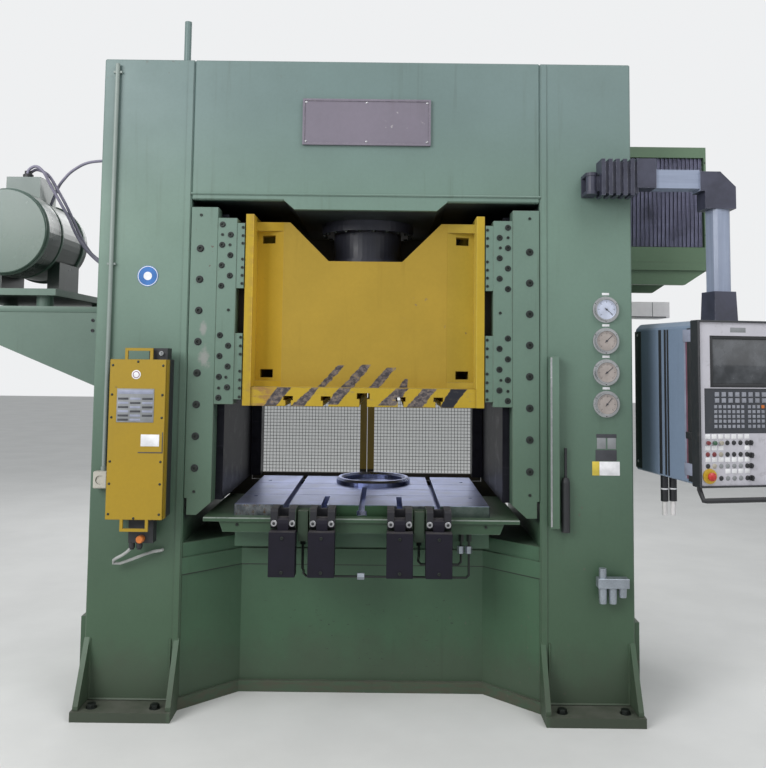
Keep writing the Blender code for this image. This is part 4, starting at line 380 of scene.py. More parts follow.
def enamel(name, colour, low_colour=None, wear=0.5, dirt=0.55, rough=0.42,
           under=(0.10, 0.085, 0.07), spots=None, shine=0.5):
    """Sprayed enamel with clouding, runs, chips, rubbed edges and settled dirt.

    spots may take the coat and change its colour so far.
    """
    coat = Coat(name)
    coat.base = tuple(colour)
    if low_colour is not None:
        height = coat.axes()[2]
        coat.base = coat.blend(coat.remap(height, 0.3, 2.3), tuple(low_colour), coat.base)
        # Painted cool light: the colour turns bluer and a little darker above 2.3 m.
        coat.tint(coat.remap(height, 2.3, 3.1), (0.96, 0.90, 1.08))
    cloud = coat.patch(2.4, 5.0, 0.6, 0.32, 0.68)
    coat.tint(coat.times(cloud, 0.35), (0.72, 0.74, 0.72))
    coat.tint(coat.times(coat.patch(60.0, 3.0, 0.6, 0.3, 0.7), 0.12), (1.35, 1.35, 1.35))
    if spots:
        spots(coat)
    coat.tint(coat.effect("runs", dirt * 0.8), (0.50, 0.46, 0.40))
    grime = coat.effect("settled_dirt", dirt, Low=0.0, High=0.42)
    coat.lay(grime, (0.050, 0.045, 0.036))
    dust = coat.effect("lying_dust", dirt * 0.7)
    coat.lay(dust, (0.20, 0.19, 0.17))
    gone = coat.top(coat.effect("chips", wear * 1.4), coat.effect("worn_edges", wear))
    coat.lay(gone, under)
    gloss = coat.plus(coat.plus(rough, coat.times(grime, 0.3)), coat.times(dust, 0.3))
    skin = coat.group("sprayed_skin", {"Vector": coat.place})["Height"]
    return coat.close(coat.plus(gloss, coat.times(cloud, 0.08), clamp=True),
                      coat.less(skin, coat.times(gone, 0.4)), 0.0012, 0.45,
                      {"Specular IOR Level": shine})


def bare_steel(name, colour, along, rough=0.34, scratches=0.6, stain=0.4, metal=1.0,
               spots=None):
    """Machined steel with tool marks, oil stains and bright rubbed edges."""
    coat = Coat(name)
    marks = coat.group("tool_marks", {"Vector": coat.place, "Along": along,
                                      "Scratches": scratches})
    coat.base = coat.blend(coat.remap(marks["Tone"], 0.30, 0.85), scaled(colour, 0.70),
                           scaled(colour, 1.28))
    oil = coat.times(coat.patch(7.0, 6.0, 0.7, 0.50, 0.68), stain)
    coat.lay(oil, scaled(colour, 0.30))
    if spots:
        spots(coat)
    coat.lay(coat.effect("worn_edges", 0.6, Radius=0.003), scaled(colour, 1.6))
    gloss = coat.plus(rough, coat.times(marks["Tone"], 0.14))
    return coat.close(coat.less(gloss, coat.times(oil, 0.18), clamp=True), marks["Height"],
                      0.0004, 0.35, {"Metallic": metal})


def moulded(name, colour, rough=0.5, grain=420.0, relief=0.25, lacquer=0.0, shine=0.5):
    """Moulded plastic, rubber or cast skin with a fine even grain."""
    coat = Coat(name)
    cloud = coat.patch(14.0, 4.0, 0.6, 0.3, 0.7)
    coat.base = coat.blend(cloud, scaled(colour, 0.86), scaled(colour, 1.14))
    coat.lay(coat.effect("worn_edges", 0.35, Radius=0.0015),
             tuple(min(1.0, c * 1.5 + 0.03) for c in colour))
    coat.lay(coat.effect("lying_dust", 0.3), (0.22, 0.21, 0.20))
    return coat.close(coat.plus(rough, coat.times(cloud, 0.1), clamp=True),
                      coat.noise(coat.place, grain, 2.0, 0.5), 0.0003, relief,
                      {"Coat Weight": lacquer, "Specular IOR Level": shine})


def plated(name, colour, rough=0.16):
    """Chrome or zinc plating with faint smears."""
    coat = Coat(name)
    smear = coat.patch(18.0, 5.0, 0.65, 0.35, 0.7)
    coat.base = coat.blend(smear, scaled(colour, 0.82), tuple(colour))
    return coat.close(coat.plus(rough, coat.times(smear, 0.12)),
                      coat.noise(coat.place, 90.0, 3.0, 0.5), 0.0002, 0.15, {"Metallic": 1.0})


def dark_glass(name, colour, rough=0.08):
    """Smoked screen glass with a faint film of dust."""
    coat = Coat(name)
    film = coat.patch(9.0, 5.0, 0.6, 0.35, 0.75)
    coat.base = coat.blend(film, tuple(colour), tuple(min(1.0, c * 2.2 + 0.02)
                                                      for c in colour))
    return coat.close(coat.plus(rough, coat.times(film, 0.18)),
                      coat.noise(coat.place, 30.0, 2.0, 0.5), 0.0002, 0.1,
                      {"Coat Weight": 0.6, "Coat Roughness": 0.05})


# Near-black: painted shade on the ram's shoes, and the darkest stripes at the ram's right end.
SHADE_AND_SOOT = (0.016, 0.017, 0.024)
STRIPE_BANDS = (
    (0.53, (-0.496, -0.434, 1.467), (-0.430, -0.359, 1.5605)),
    (0.53, (-0.362, -0.292, 1.467), (-0.256, -0.222, 1.5605)),
    (0.44, (-0.236, -0.198, 1.560), (-0.132, -0.098, 1.672)),
    (0.53, (-0.196, -0.128, 1.476), (-0.120, -0.058, 1.5605)),
    (0.44, (-0.134, -0.068, 1.540), (-0.010, 0.036, 1.676)),
    (0.44, (0.012, 0.064, 1.545), (0.114, 0.166, 1.662)),
    (0.53, (0.070, 0.160, 1.474), (0.168, 0.226, 1.5605)),
    (0.44, (0.176, 0.226, 1.560), (0.205, 0.222, 1.606)),
    (0.53, (0.214, 0.296, 1.467), (0.300, 0.367, 1.5605)),
    (0.53, (0.382, 0.446, 1.467), (0.437, 0.520, 1.5605)),
)


def leaning_band(coat, x, z, foot, head, edge=0.003):
    """A mask between two slanted sides, each given as left, right and height."""
    share = coat.math("DIVIDE", coat.less(z, foot[2]), head[2] - foot[2])
    left = coat.plus(coat.times(share, head[0] - foot[0]), foot[0])
    right = coat.plus(coat.times(share, head[1] - foot[1]), foot[1])
    return coat.times(coat.remap(coat.less(x, left), -edge, edge),
                      coat.remap(coat.less(right, x), -edge, edge),
                      coat.within(z, foot[2], head[2], edge))


def ram_stripes(coat):
    """Worn dark stripes and scuffs along the ram's lower front."""
    x, y, z = coat.axes()
    wobble = coat.times(coat.less(coat.noise(coat.place, 34.0, 4.0, 0.65), 0.5), 0.030)
    moved = coat.plus(x, wobble)
    masks = {}
    for depth, foot, head in STRIPE_BANDS:
        band = leaning_band(coat, moved, z, foot, head)
        masks[depth] = coat.top(masks[depth], band) if depth in masks else band
    plate = coat.remap(y, -0.524, -0.527)
    wall = coat.times(coat.remap(y, -0.36, -0.38), coat.remap(y, -0.500, -0.480))
    stripes = coat.top(coat.times(masks[0.53], plate), coat.times(masks[0.44], wall))
    grain = coat.noise(coat.stretch(coat.place, (1.0, 1.0, 1.6)), 30.0, 7.0, 0.75)
    kept = coat.top(coat.remap(grain, 0.70, 0.57), coat.remap(x, 0.36, 0.40))
    rubbed = coat.blend(coat.remap(grain, 0.42, 0.60),
                        tuple(bpy.context.scene.press_colours.stripe), (0.17, 0.14, 0.13))
    low = coat.times(plate, coat.within(x, -0.560, -0.45, 0.03),
                     coat.patch(18.0, 6.0, 0.75, 0.40, 0.54, stretch=(0.4, 1.0, 1.4)))
    coat.lay(coat.times(low, 0.75), (0.23, 0.12, 0.06))
    coat.lay(coat.times(stripes, kept), rubbed)
    coat.lay(coat.times(stripes, coat.remap(x, 0.36, 0.40)), SHADE_AND_SOOT)
    scuff = coat.times(plate, coat.remap(z, 1.5605, 1.5600),
                       coat.patch(24.0, 6.0, 0.75, 0.56, 0.68, stretch=(0.35, 1.0, 1.6)))
    coat.lay(coat.times(scuff, 0.6), (0.15, 0.13, 0.11))


def ram_coat(coat):
    """The ram's front wall, slanting cheeks and oiled shoes under its stripes."""
    x, y, z = coat.axes()
    tall = coat.times(coat.within(z, 1.562, 2.43), coat.remap(y, -0.30, -0.32))
    left = coat.times(tall, coat.within(x, -0.566, -0.424))
    right = coat.times(tall, coat.within(x, 0.424, 0.566))
    coat.tint(coat.times(tall, coat.within(x, -0.424, 0.424)), (0.84, 0.82, 1.20))
    # Painted light and shade: each slanting cheek is tinted lighter at its outer end and darker
    # at its inner end, the right one bluer.
    inward = coat.remap(coat.size(x), 0.560, 0.430)
    coat.tint(left, coat.blend(inward, (1.38, 1.34, 1.5), (0.93, 0.86, 0.45)))
    coat.tint(right, coat.blend(inward, (1.20, 1.30, 2.3), (0.90, 0.92, 1.4)))
    # Painted shade: the ram's shoes beyond |x| 0.604 go near-black.
    coat.lay(coat.times(coat.remap(coat.size(x), 0.603, 0.605), 0.95), SHADE_AND_SOOT)
    ram_stripes(coat)


def frame_coat(coat):
    """The bed's deeper green with its seam, flecks and rubbed plinth, and soot inside."""
    x, y, z = coat.axes()
    bed = coat.times(coat.within(x, -0.8788, 0.8788), coat.remap(z, 0.851, 0.850))
    coat.tint(bed, (0.93, 1.10, 1.03))
    coat.lay(coat.times(bed, coat.within(z, 0.6335, 0.6408)), (0.018, 0.028, 0.020))
    fleck = coat.times(coat.within(x, -0.50, 0.55, 0.1),
                       coat.patch(52.0, 4.0, 0.6, 0.655, 0.685, stretch=(0.6, 1.0, 1.7)))
    coat.lay(coat.times(bed, coat.within(z, 0.08, 0.50, 0.05), fleck), (0.022, 0.034, 0.024))
    rubbed = coat.patch(16.0, 6.0, 0.7, 0.40, 0.60, 0.0, 0.6, stretch=(0.3, 1.0, 2.0))
    coat.lay(coat.times(bed, coat.remap(z, 0.056, 0.054), rubbed), (0.085, 0.062, 0.042))
    coat.tint(coat.times(coat.remap(z, 0.052, 0.048), coat.remap(coat.size(x), 0.89, 0.90)),
              (0.62, 0.58, 0.58))
    # Painted shade: the frame's faces inside the opening go near-black.
    inside = coat.times(coat.within(x, -0.8835, 0.8835, 0.002), coat.remap(y, -0.520, -0.505),
                        coat.within(z, 0.90, 2.56, 0.01))
    coat.lay(coat.times(inside, coat.patch(6.0, 5.0, 0.65, 0.2, 0.8, 0.80, 1.0)),
             (0.015, 0.016, 0.023))


def plate_scuffs(coat):
    """Pale scrapes on the left guide plate."""
    for x, z, long in ((-0.801, 1.850, 0.070), (-0.797, 1.698, 0.105)):
        torn = coat.plus(coat.gap(coat.place, (1.7, 0.0, 1.0), (x * 1.7, 0.0, z)),
                         coat.times(coat.noise(coat.place, 30.0, 6.0, 0.75), long * 1.3))
        coat.lay(coat.times(coat.remap(torn, long * 1.25, long * 0.85), 0.45),
                 (0.36, 0.31, 0.32))


def guard_soot(coat):
    """The dark surround of the rear guard, above, below and beside its doors."""
    x, _, z = coat.axes()
    round_doors = coat.top(coat.remap(coat.size(x), 0.704, 0.708),
                           coat.top(coat.remap(z, 2.290, 2.310), coat.remap(z, 1.024, 1.016)))
    coat.lay(coat.times(round_doors, 0.94), (0.012, 0.012, 0.012))


def motor_oil(coat):
    """Oil film that darkens the motor's belly behind its end shield."""
    _, y, z = coat.axes()
    coat.lay(coat.times(coat.remap(y, -0.070, -0.060), coat.remap(z, 2.56, 2.30), 0.85),
             (0.016, 0.026, 0.022))


def desk_lid(coat):
    """The pale dusty lid and the black glands of the desk's case."""
    z = coat.axes()[2]
    # Pale dust and painted highlight on the upward faces.
    coat.lay(coat.effect("lying_dust", 0.75), (0.44, 0.49, 0.55))
    coat.lay(coat.remap(z, 1.1375, 1.1365), (0.018, 0.019, 0.023))


def table_edge(coat):
    """The stained front edge of the table with its painted middle."""
    x, y, _ = coat.axes()
    edge = coat.remap(y, -0.5075, -0.5085)
    coat.lay(edge, coat.blend(coat.patch(26.0, 6.0, 0.7, 0.35, 0.65),
                              (0.085, 0.095, 0.105), (0.20, 0.215, 0.225)))
    rust = coat.times(edge, coat.remap(x, -0.30, -0.45), coat.patch(55.0, 5.0, 0.7, 0.54, 0.62))
    coat.lay(coat.times(rust, 0.8), (0.12, 0.070, 0.035))
    coat.lay(coat.times(edge, coat.remap(x, 0.30, 0.34), 0.7), (0.085, 0.125, 0.100))
    painted = coat.times(coat.within(x, -0.143, 0.130), edge,
                         coat.patch(20.0, 6.0, 0.7, 0.70, 0.60))
    coat.lay(painted, tuple(bpy.context.scene.press_colours.enamel_low))


def shelf_edge(coat):
    """The rubbed front lip of the shelf."""
    _, y, z = coat.axes()
    lip = coat.times(coat.within(z, 0.9190, 0.9262), coat.remap(y, -0.5680, -0.5690),
                     coat.patch(14.0, 5.0, 0.7, 0.30, 0.50), 0.8)
    coat.lay(lip, (0.26, 0.30, 0.27))


def spacer_green(coat):
    """The green valve block between two folding consoles."""
    gap = coat.size(coat.less(coat.size(coat.axes()[0]), 0.281))
    coat.lay(coat.remap(gap, 0.036, 0.034),
             scaled(bpy.context.scene.press_colours.enamel_low, 0.45))


def socket_cream(coat):
    """The pale socket at the foot of the conduit."""
    coat.lay(coat.remap(coat.axes()[2], 1.1445, 1.1435), (0.50, 0.48, 0.42))


def desk_face(colours):
    """The desk's front: a dark frame round a pale panel with dark fields."""
    coat = Coat("desk_face")
    local = coat.add("ShaderNodeMapping", {
        "Vector": coat.place, "Location": tuple(DESK_AXIS), "Rotation": (0.0, 0.0, DESK_YAW)},
        vector_type="TEXTURE").outputs[0]
    x, y, z = coat.split(local)
    panel = coat.times(coat.within(x, -0.2105, 0.2645), coat.within(z, 1.1415, 1.8955),
                       coat.within(y, -0.1720, -0.1400))
    keys = coat.times(coat.within(x, -0.1875, 0.2455), coat.within(z, 1.3795, 1.5875))
    screen = coat.times(coat.within(x, -0.1565, 0.2145), coat.within(z, 1.5925, 1.8325))
    collar = coat.remap(coat.gap(local, (1.0, 0.0, 1.0), (-0.168, 0.0, 1.185)),
                        0.0348, 0.0342)
    cloud = coat.patch(11.0, 4.0, 0.6, 0.3, 0.7)
    coat.base = coat.blend(panel, tuple(colours.dark), coat.blend(
        cloud, scaled(colours.panel, 0.93), tuple(colours.panel)))
    coat.lay(coat.times(keys, panel), (0.036, 0.040, 0.050))
    coat.lay(coat.times(screen, panel), (0.020, 0.022, 0.026))
    coat.lay(collar, (0.55, 0.36, 0.03))
    coat.lay(coat.times(coat.patch(24.0, 6.0, 0.7, 0.52, 0.70), 0.25), (0.10, 0.09, 0.085))
    return coat.close(coat.plus(0.38, coat.times(cloud, 0.1)),
                      coat.noise(coat.place, 500.0, 2.0, 0.5), 0.0002, 0.2)


def arm_skin(name, axis, low, high):
    """Powder-coated profile that is pale between two limits and dark rubber beyond."""
    colours = bpy.context.scene.press_colours
    coat = Coat(name)
    share = coat.within(coat.axes()[axis], low, high, 0.0006)
    drawn = coat.patch(1.0, 3.0, 0.6, 0.3, 0.7,
                       stretch=(3.0, 60.0, 60.0) if axis == 0 else (60.0, 60.0, 3.0))
    cloud = coat.patch(9.0, 5.0, 0.65, 0.3, 0.7)
    coat.base = coat.blend(drawn, scaled(colours.arm, 0.92), scaled(colours.arm, 1.06))
    coat.tint(coat.times(cloud, 0.25), (0.70, 0.72, 0.76))
    dark = coat.blend(cloud, scaled(colours.rubber, 0.80), scaled(colours.rubber, 1.25))
    coat.base = coat.blend(share, dark, coat.base)
    coat.lay(coat.effect("worn_edges", 0.5, Radius=0.003), (0.42, 0.44, 0.52))
    coat.lay(coat.effect("lying_dust", 0.45), (0.22, 0.22, 0.23))
    return coat.close(coat.plus(0.34, coat.times(cloud, 0.16)),
                      coat.noise(coat.place, 320.0, 2.0, 0.5), 0.0003, 0.3)


MOULDED = {    # name: colour, roughness, grain, relief, lacquer, shine
    "black_plastic": ((0.020, 0.021, 0.024), 0.5),
    "console_iron": ((0.009, 0.008, 0.015), 0.58, 300.0, 0.4, 0.0, 0.22),
    "cylinder_iron": ((0.050, 0.053, 0.075), 0.34, 300.0, 0.4),
    "clip_grey": ((0.27, 0.29, 0.38), 0.45),
    "cable_jacket": ((0.36, 0.37, 0.36), 0.6),
    "hose_rubber": ((0.230, 0.215, 0.290), 0.40, 200.0, 0.3),
    "orange_cap": ((0.60, 0.17, 0.03), 0.45),
    "stop_red": ((0.50, 0.022, 0.018), 0.35, 420.0, 0.25, 0.3),
    "push_red": ((0.17, 0.024, 0.028), 0.4, 420.0, 0.25, 0.2),
    "push_green": ((0.035, 0.10, 0.055), 0.4, 420.0, 0.25, 0.2),
    "push_cream": ((0.36, 0.33, 0.27), 0.4, 420.0, 0.25, 0.2),
    "key_pale": ((0.25, 0.26, 0.30), 0.5),
    "seal_red": ((0.19, 0.080, 0.115), 0.5),
    "label_white": ((0.74, 0.74, 0.76), 0.4, 200.0, 0.1),
    "label_grey": ((0.22, 0.23, 0.24), 0.4, 200.0, 0.1),
    "label_dark": ((0.045, 0.047, 0.055), 0.4, 200.0, 0.1),
    "label_yellow": ((0.58, 0.45, 0.06), 0.4, 200.0, 0.1),
    "sign_blue": ((0.025, 0.14, 0.42), 0.35, 200.0, 0.1, 0.2),
    "dial_white": ((0.50, 0.54, 0.66), 0.4, 200.0, 0.05),
    "dial_cream": ((0.34, 0.30, 0.28), 0.4, 200.0, 0.05),
}


def finishes():
    """Every finish by name, built once."""
    if bpy.data.materials.get("look_frame_enamel"):
        return {m.name.removeprefix("look_"): m for m in bpy.data.materials}
    c = bpy.context.scene.press_colours
    made = [
        enamel("frame_enamel", c.enamel, c.enamel_low, wear=0.42, dirt=0.42, spots=frame_coat),
        enamel("plate_enamel", scaled(c.enamel, 0.94), c.enamel_low, wear=0.75, dirt=0.65,
               spots=plate_scuffs),
        enamel("shelf_enamel", (0.030, 0.070, 0.036), dirt=0.2, under=(0.20, 0.23, 0.21),
               spots=shelf_edge),
        enamel("line_enamel", (0.006, 0.012, 0.009), wear=0.2, dirt=0.1),
        enamel("ear_enamel", (0.010, 0.010, 0.015), wear=0.2, dirt=0.1, rough=0.6,
               spots=spacer_green),
        enamel("rail_enamel", (0.012, 0.020, 0.020), wear=0.3, dirt=0.4),
        enamel("unit_enamel", scaled(c.enamel, 0.76), scaled(c.enamel, 0.62), wear=0.3,
               dirt=0.6),
        enamel("motor_enamel", scaled(c.enamel, 0.62), scaled(c.enamel, 0.52), wear=0.3,
               dirt=0.6, rough=0.26, spots=motor_oil),
        enamel("cooler_enamel", (0.100, 0.170, 0.100), wear=0.45, dirt=0.5),
        enamel("ram_enamel", c.yellow, wear=0.55, dirt=0.4, rough=0.55, shine=0.25,
               under=(0.16, 0.13, 0.10), spots=ram_coat),
        enamel("cover_enamel", (0.335, 0.215, 0.007), wear=0.65, dirt=0.45,
               under=(0.07, 0.06, 0.05)),
        enamel("guard_enamel", scaled(c.yellow, 0.9), wear=0.4, dirt=0.5, spots=guard_soot),
        enamel("conduit_enamel", (0.230, 0.275, 0.255), wear=0.4, dirt=0.4,
               spots=socket_cream),
        enamel("crown_plate", c.plate, dirt=0.35, rough=0.5, under=(0.40, 0.38, 0.38)),
        enamel("desk_shell", scaled(c.shell, 1.3), wear=0.25, dirt=0.3, rough=0.36,
               under=(0.40, 0.43, 0.46), spots=desk_lid),
        enamel("box_enamel", (0.84, 0.81, 0.81), wear=0.3, dirt=0.3),
        bare_steel("table_steel", c.table, (3.0, 190.0, 190.0), 0.30, spots=table_edge),
        bare_steel("ring_steel", scaled(c.table, 1.1), (160.0, 160.0, 20.0), 0.26),
        bare_steel("slide_steel", c.slide, (190.0, 190.0, 4.0), 0.38, stain=0.6),
        bare_steel("screw_steel", (0.055, 0.062, 0.058), (60.0, 60.0, 60.0), 0.40),
        bare_steel("fin_alloy", (0.27, 0.27, 0.40), (90.0, 90.0, 12.0), 0.42, stain=0.6,
                   metal=0.2),
        bare_steel("bright_steel", (0.50, 0.50, 0.52), (120.0, 120.0, 120.0), 0.28,
                   stain=0.15),
        bare_steel("air_alloy", (0.38, 0.42, 0.47), (120.0, 8.0, 120.0), 0.38, stain=0.1,
                   scratches=0.3, metal=0.75),
        arm_skin("arm_skin", 0, 1.4235, 1.6375),
        arm_skin("tube_skin", 2, 2.0515, 2.60),
        plated("rod_chrome", (0.62, 0.62, 0.64), 0.10),
        plated("gauge_chrome", (0.60, 0.61, 0.62)),
        moulded("black_iron", c.dark, 0.46, 300.0, 0.5),
        moulded("arm_rubber", tuple(c.rubber), 0.5, 350.0, 0.4),
        *(moulded(name, *values) for name, values in MOULDED.items()),
        dark_glass("screen_glass", (0.020, 0.022, 0.026)),
        dark_glass("crt_glass", (0.030, 0.033, 0.038), 0.16),
        desk_face(c),
    ]
    return {m.name.removeprefix("look_"): m for m in made}


CAD_FINISH = {
    "frame_enamel": "column_left column_right crown bed curtain_receiver",
    "shelf_enamel": "shelf",
    "plate_enamel": "guide_plate_left guide_plate_right gib_plate_left gib_plate_right",
    "unit_enamel": "motor_bracket motor_base",
    "motor_enamel": "motor",
    "cooler_enamel": "cooler cooler_bracket",
    "line_enamel": "lower_line upper_line",
    "ram_enamel": "ram",
    "cover_enamel": "curtain_cover",
    "guard_enamel": "guard_frame guard_door_left guard_door_right",
    "conduit_enamel": "conduit",
    "crown_plate": "name_plate",
    "desk_shell": "desk_shell",
    "desk_face": "desk_front",
    "box_enamel": "side_box",
    "table_steel": "bolster",
    "ring_steel": "bolster_ring",
    "slide_steel": "slideway_left slideway_right",
    "air_alloy": "air_unit",
    "arm_skin": "swing_arm",
    "tube_skin": "desk_tube",
    "arm_rubber": "arm_mount",
    "rod_chrome": "ram_rod",
    "gauge_chrome": "gauge_1 gauge_2 gauge_3 gauge_4 switch_key",
    "console_iron": "console_1 console_2 console_3 console_4",
    "ear_enamel": "console_bracket_left console_bracket_right",
    "cylinder_iron": "main_cylinder",
    "black_plastic": "curtain_case side_sleeve desk_grip knob_upper knob_lower",
    "cable_jacket": "signal_cable",
    "stop_red": "stop_button",
    "push_red": "button_red",
    "push_green": "button_green",
    "push_cream": "button_cream",
    "screen_glass": "guard_mesh_left guard_mesh_right",
}
# The packed colour that each finish of an added piece stands for
SLOT_FINISHES = {
    "press_green": "frame_enamel unit_enamel motor_enamel",
    "dark_green": "fin_alloy rail_enamel",
    "safety_yellow": "cover_enamel",
    "slide_steel": "screw_steel line_enamel",
    "chrome": "bright_steel",
    "aluminium": "air_alloy desk_shell",
    "black_oxide": "black_iron black_plastic label_dark crt_glass hose_rubber",
    "box_grey": "label_grey key_pale clip_grey box_enamel",
    "signal_red": "seal_red orange_cap push_red",
    "signal_cream": "label_white label_yellow sign_blue dial_white dial_cream push_cream",
}
SLOTS = {finish: slot for slot, names in SLOT_FINISHES.items() for finish in names.split()}


# ---- meshes


def link(name, mesh):
    """A new object in the scene for a mesh."""
    made = bpy.data.objects.new(name, mesh)
    bpy.context.scene.collection.objects.link(made)
    return made


def mesh_from(name, bm):
    """A mesh from a bmesh, which is freed."""
    mesh = bpy.data.meshes.new(name)
    bm.to_mesh(mesh)
    bm.free()
    return mesh


def claim(name, bm, finish, body="frame", slot=None, smooth=True, place=None):
    """Turn a bmesh into a shown piece that rides on a body."""
    if place is not None:
        bm.transform(place)
    bmesh.ops.remove_doubles(bm, verts=bm.verts, dist=1e-6)
    bmesh.ops.recalc_face_normals(bm, faces=bm.faces)
    return show(name, mesh_from(name, bm), finish, body, slot, smooth)


def show(name, mesh, finish, body="frame", slot=None, smooth=True):
    """Link a finished mesh as a piece with its finish, body and slot."""
    mesh.materials.clear()
    mesh.materials.append(finishes()[finish])
    piece = link(name, mesh)
    if smooth:
        mesh.shade_smooth()
        mesh.set_sharp_from_angle(angle=math.radians(28))
    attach(piece, body)
    return piece


def add_block(bm, low, high, bevel=0.0, segments=2):
    """Add a box between two corners, with rounded edges."""
    low, high = Vector(low), Vector(high)
    made = bmesh.ops.create_cube(bm, size=1.0)["verts"]
    bmesh.ops.scale(bm, vec=high - low, verts=made)
    bmesh.ops.translate(bm, vec=(low + high) / 2, verts=made)
    if bevel > 0:
        edges = list({e for v in made for e in v.link_edges})
        bmesh.ops.bevel(bm, geom=edges, offset=bevel, segments=segments, affect="EDGES",
                        profile=0.5, clamp_overlap=True)
    return bm


def ring_radius(shape, radius, turn):
    """Distance from the centre to a round, six-sided or square outline."""
    if shape == "round":
        return radius
    sector = math.tau / {"hex": 6, "square": 4}[shape]
    shift = sector / 2 if shape == "square" else 0.0
    return radius / math.cos(((turn + shift) % sector) - sector / 2)


def add_stack(bm, rings, steps=18, place=None):
    """Add a closed body through rings of (radius, height, shape), top and foot capped."""
    place = place or Matrix.Identity(4)
    loops = []
    for radius, height, *shape in rings:
        shape = shape[0] if shape else "round"
        if radius <= 0:
            loops.append([bm.verts.new(place @ Vector((0, 0, height)))])
            continue
        loops.append([bm.verts.new(place @ Vector((
            math.cos(t) * ring_radius(shape, radius, t),
            math.sin(t) * ring_radius(shape, radius, t), height)))
            for t in (math.tau * i / steps for i in range(steps))])
    for first, second in zip(loops, loops[1:]):
        for i in range(steps):
            j = (i + 1) % steps
            if len(first) == 1:
                bm.faces.new((first[0], second[i], second[j]))
            elif len(second) == 1:
                bm.faces.new((first[j], first[i], second[0]))
            else:
                bm.faces.new((first[i], second[i], second[j], first[j]))
    return bm


def aimed(spot, direction):
    """A placement at a spot with its upward axis along a direction."""
    turn = direction.to_track_quat("Z", "Y").to_matrix().to_4x4()
    return Matrix.Translation(spot) @ turn


def puck(radius, top, foot=0.0, foot_radius=None):
    """Rings of a low disc."""
    return [(0, top), (radius, top), (foot_radius or radius, foot), (0, foot)]


def tube(inner, outer, first, last):
    """Rings of an open ring with a square section."""
    return [(inner, first), (outer, first), (outer, last), (inner, last), (inner, first)]


def stack(name, rings, finish, steps, place, **more):
    """One round body as a piece."""
    return claim(name, add_stack(bmesh.new(), rings, steps, place), finish, **more)


# Heads of unit size: rings of (radius, height, shape) and steps round
TEMPLATES = {
    "cap_screw": ([(0, 0.05), (0.46, 0.05, "hex"), (0.46, 0.55, "hex"), (0.88, 0.55),
                   (1.0, 0.42), (1.0, -0.2), (0, -0.2)], 18),
    "hex_bolt": ([(0, 0.85), (0.72, 0.85), (0.80, 0.78, "hex"), (0.80, 0.16, "hex"),
                  (1.08, 0.16), (1.08, -0.1), (0, -0.1)], 18),
    "pan_screw": ([(0, 0.42), (0.5, 0.38), (0.85, 0.24), (1.0, 0.0), (1.0, -0.2),
                   (0, -0.2)], 14),
    "sunk_ring": (puck(1.0, 0.012, -0.05, 1.02), 18),
    "key_cap": ([(0, 0.42), (0.62, 0.46, "square"), (0.84, 0.42, "square"),
                 (0.98, 0.0, "square"), (0.98, -0.2, "square"), (0, -0.2)], 16),
    "turn_knob": ([(0, 0.55), (0.86, 0.55), (1.0, 0.42), (1.0, -0.1), (0, -0.1)], 20),
}


def template(name):
    """The hidden object that a head is copied from."""
    shape = bpy.data.objects.get("template_" + name)
    if shape is None:
        rings, steps = TEMPLATES[name]
        bm = add_stack(bmesh.new(), rings, steps)
        if name == "turn_knob":
            add_block(bm, (-0.26, -0.92, 0.3), (0.26, 0.92, 1.05), 0.08)
        bmesh.ops.recalc_face_normals(bm, faces=bm.faces)
        shape = link("template_" + name, mesh_from("template_" + name, bm))
        shape.hide_render = True
    return shape


class Weave(Graph):
    """A Geometry Nodes tree with named inputs."""

    def __init__(self, name, inputs):
        super().__init__(bpy.data.node_groups.new(name, "GeometryNodeTree"))
        face = self.tree.interface
        face.new_socket(name="Geometry", in_out="INPUT", socket_type="NodeSocketGeometry")
        self.ids = {}
        for label, kind, default in (*inputs, ("Finish", "NodeSocketMaterial", None)):
            socket = face.new_socket(name=label, in_out="INPUT", socket_type=kind)
            if default is not None:
                socket.default_value = default
            self.ids[label] = socket.identifier
        face.new_socket(name="Geometry", in_out="OUTPUT", socket_type="NodeSocketGeometry")
        self.given = self.add("NodeGroupInput").outputs

    def close(self, geometry):
        """End the tree with real faces and one finish."""
        solid = self.add("GeometryNodeRealizeInstances", {"Geometry": geometry})
        coated = self.add("GeometryNodeSetMaterial", {"Geometry": solid.outputs[0],
                                                      "Material": self.given["Finish"]})
        self.feed(self.add("NodeGroupOutput").inputs[0], coated.outputs[0])
        return self


def spread_tree():
    """Copies of a template on points, each turned to the point's aim."""
    weave = Weave("spread_on_points", [
        ("Template", "NodeSocketObject", None), ("Size", FLOAT, 0.01), ("Turn", FLOAT, 0.0),
        ("Seed", "NodeSocketInt", 3)])
    aim = weave.add("GeometryNodeInputNamedAttribute", {"Name": "aim"},
                    data_type="FLOAT_VECTOR")
    facing = weave.add("FunctionNodeAxesToRotation", {
        "Primary Axis": aim.outputs[0], "Secondary Axis": (0.0, 0.001, 1.0)},
        primary_axis="Z", secondary_axis="Y")
    chance = weave.add("FunctionNodeRandomValue", {"Seed": weave.given["Seed"]},
                       data_type="FLOAT")
    spin = weave.add("FunctionNodeAxisAngleToRotation", {
        "Axis": (0.0, 0.0, 1.0), "Angle": weave.times(chance.outputs[1], weave.given["Turn"])})
    turned = weave.add("FunctionNodeRotateRotation", {
        "Rotation": facing.outputs[0], "Rotate By": spin.outputs[0]}, rotation_space="LOCAL")
    shape = weave.add("GeometryNodeObjectInfo", {"Object": weave.given["Template"]})
    copies = weave.add("GeometryNodeInstanceOnPoints", {
        "Points": weave.given["Geometry"], "Instance": shape.outputs["Geometry"],
        "Rotation": turned.outputs[0], "Scale": weave.given["Size"]})
    return weave.close(copies.outputs[0])


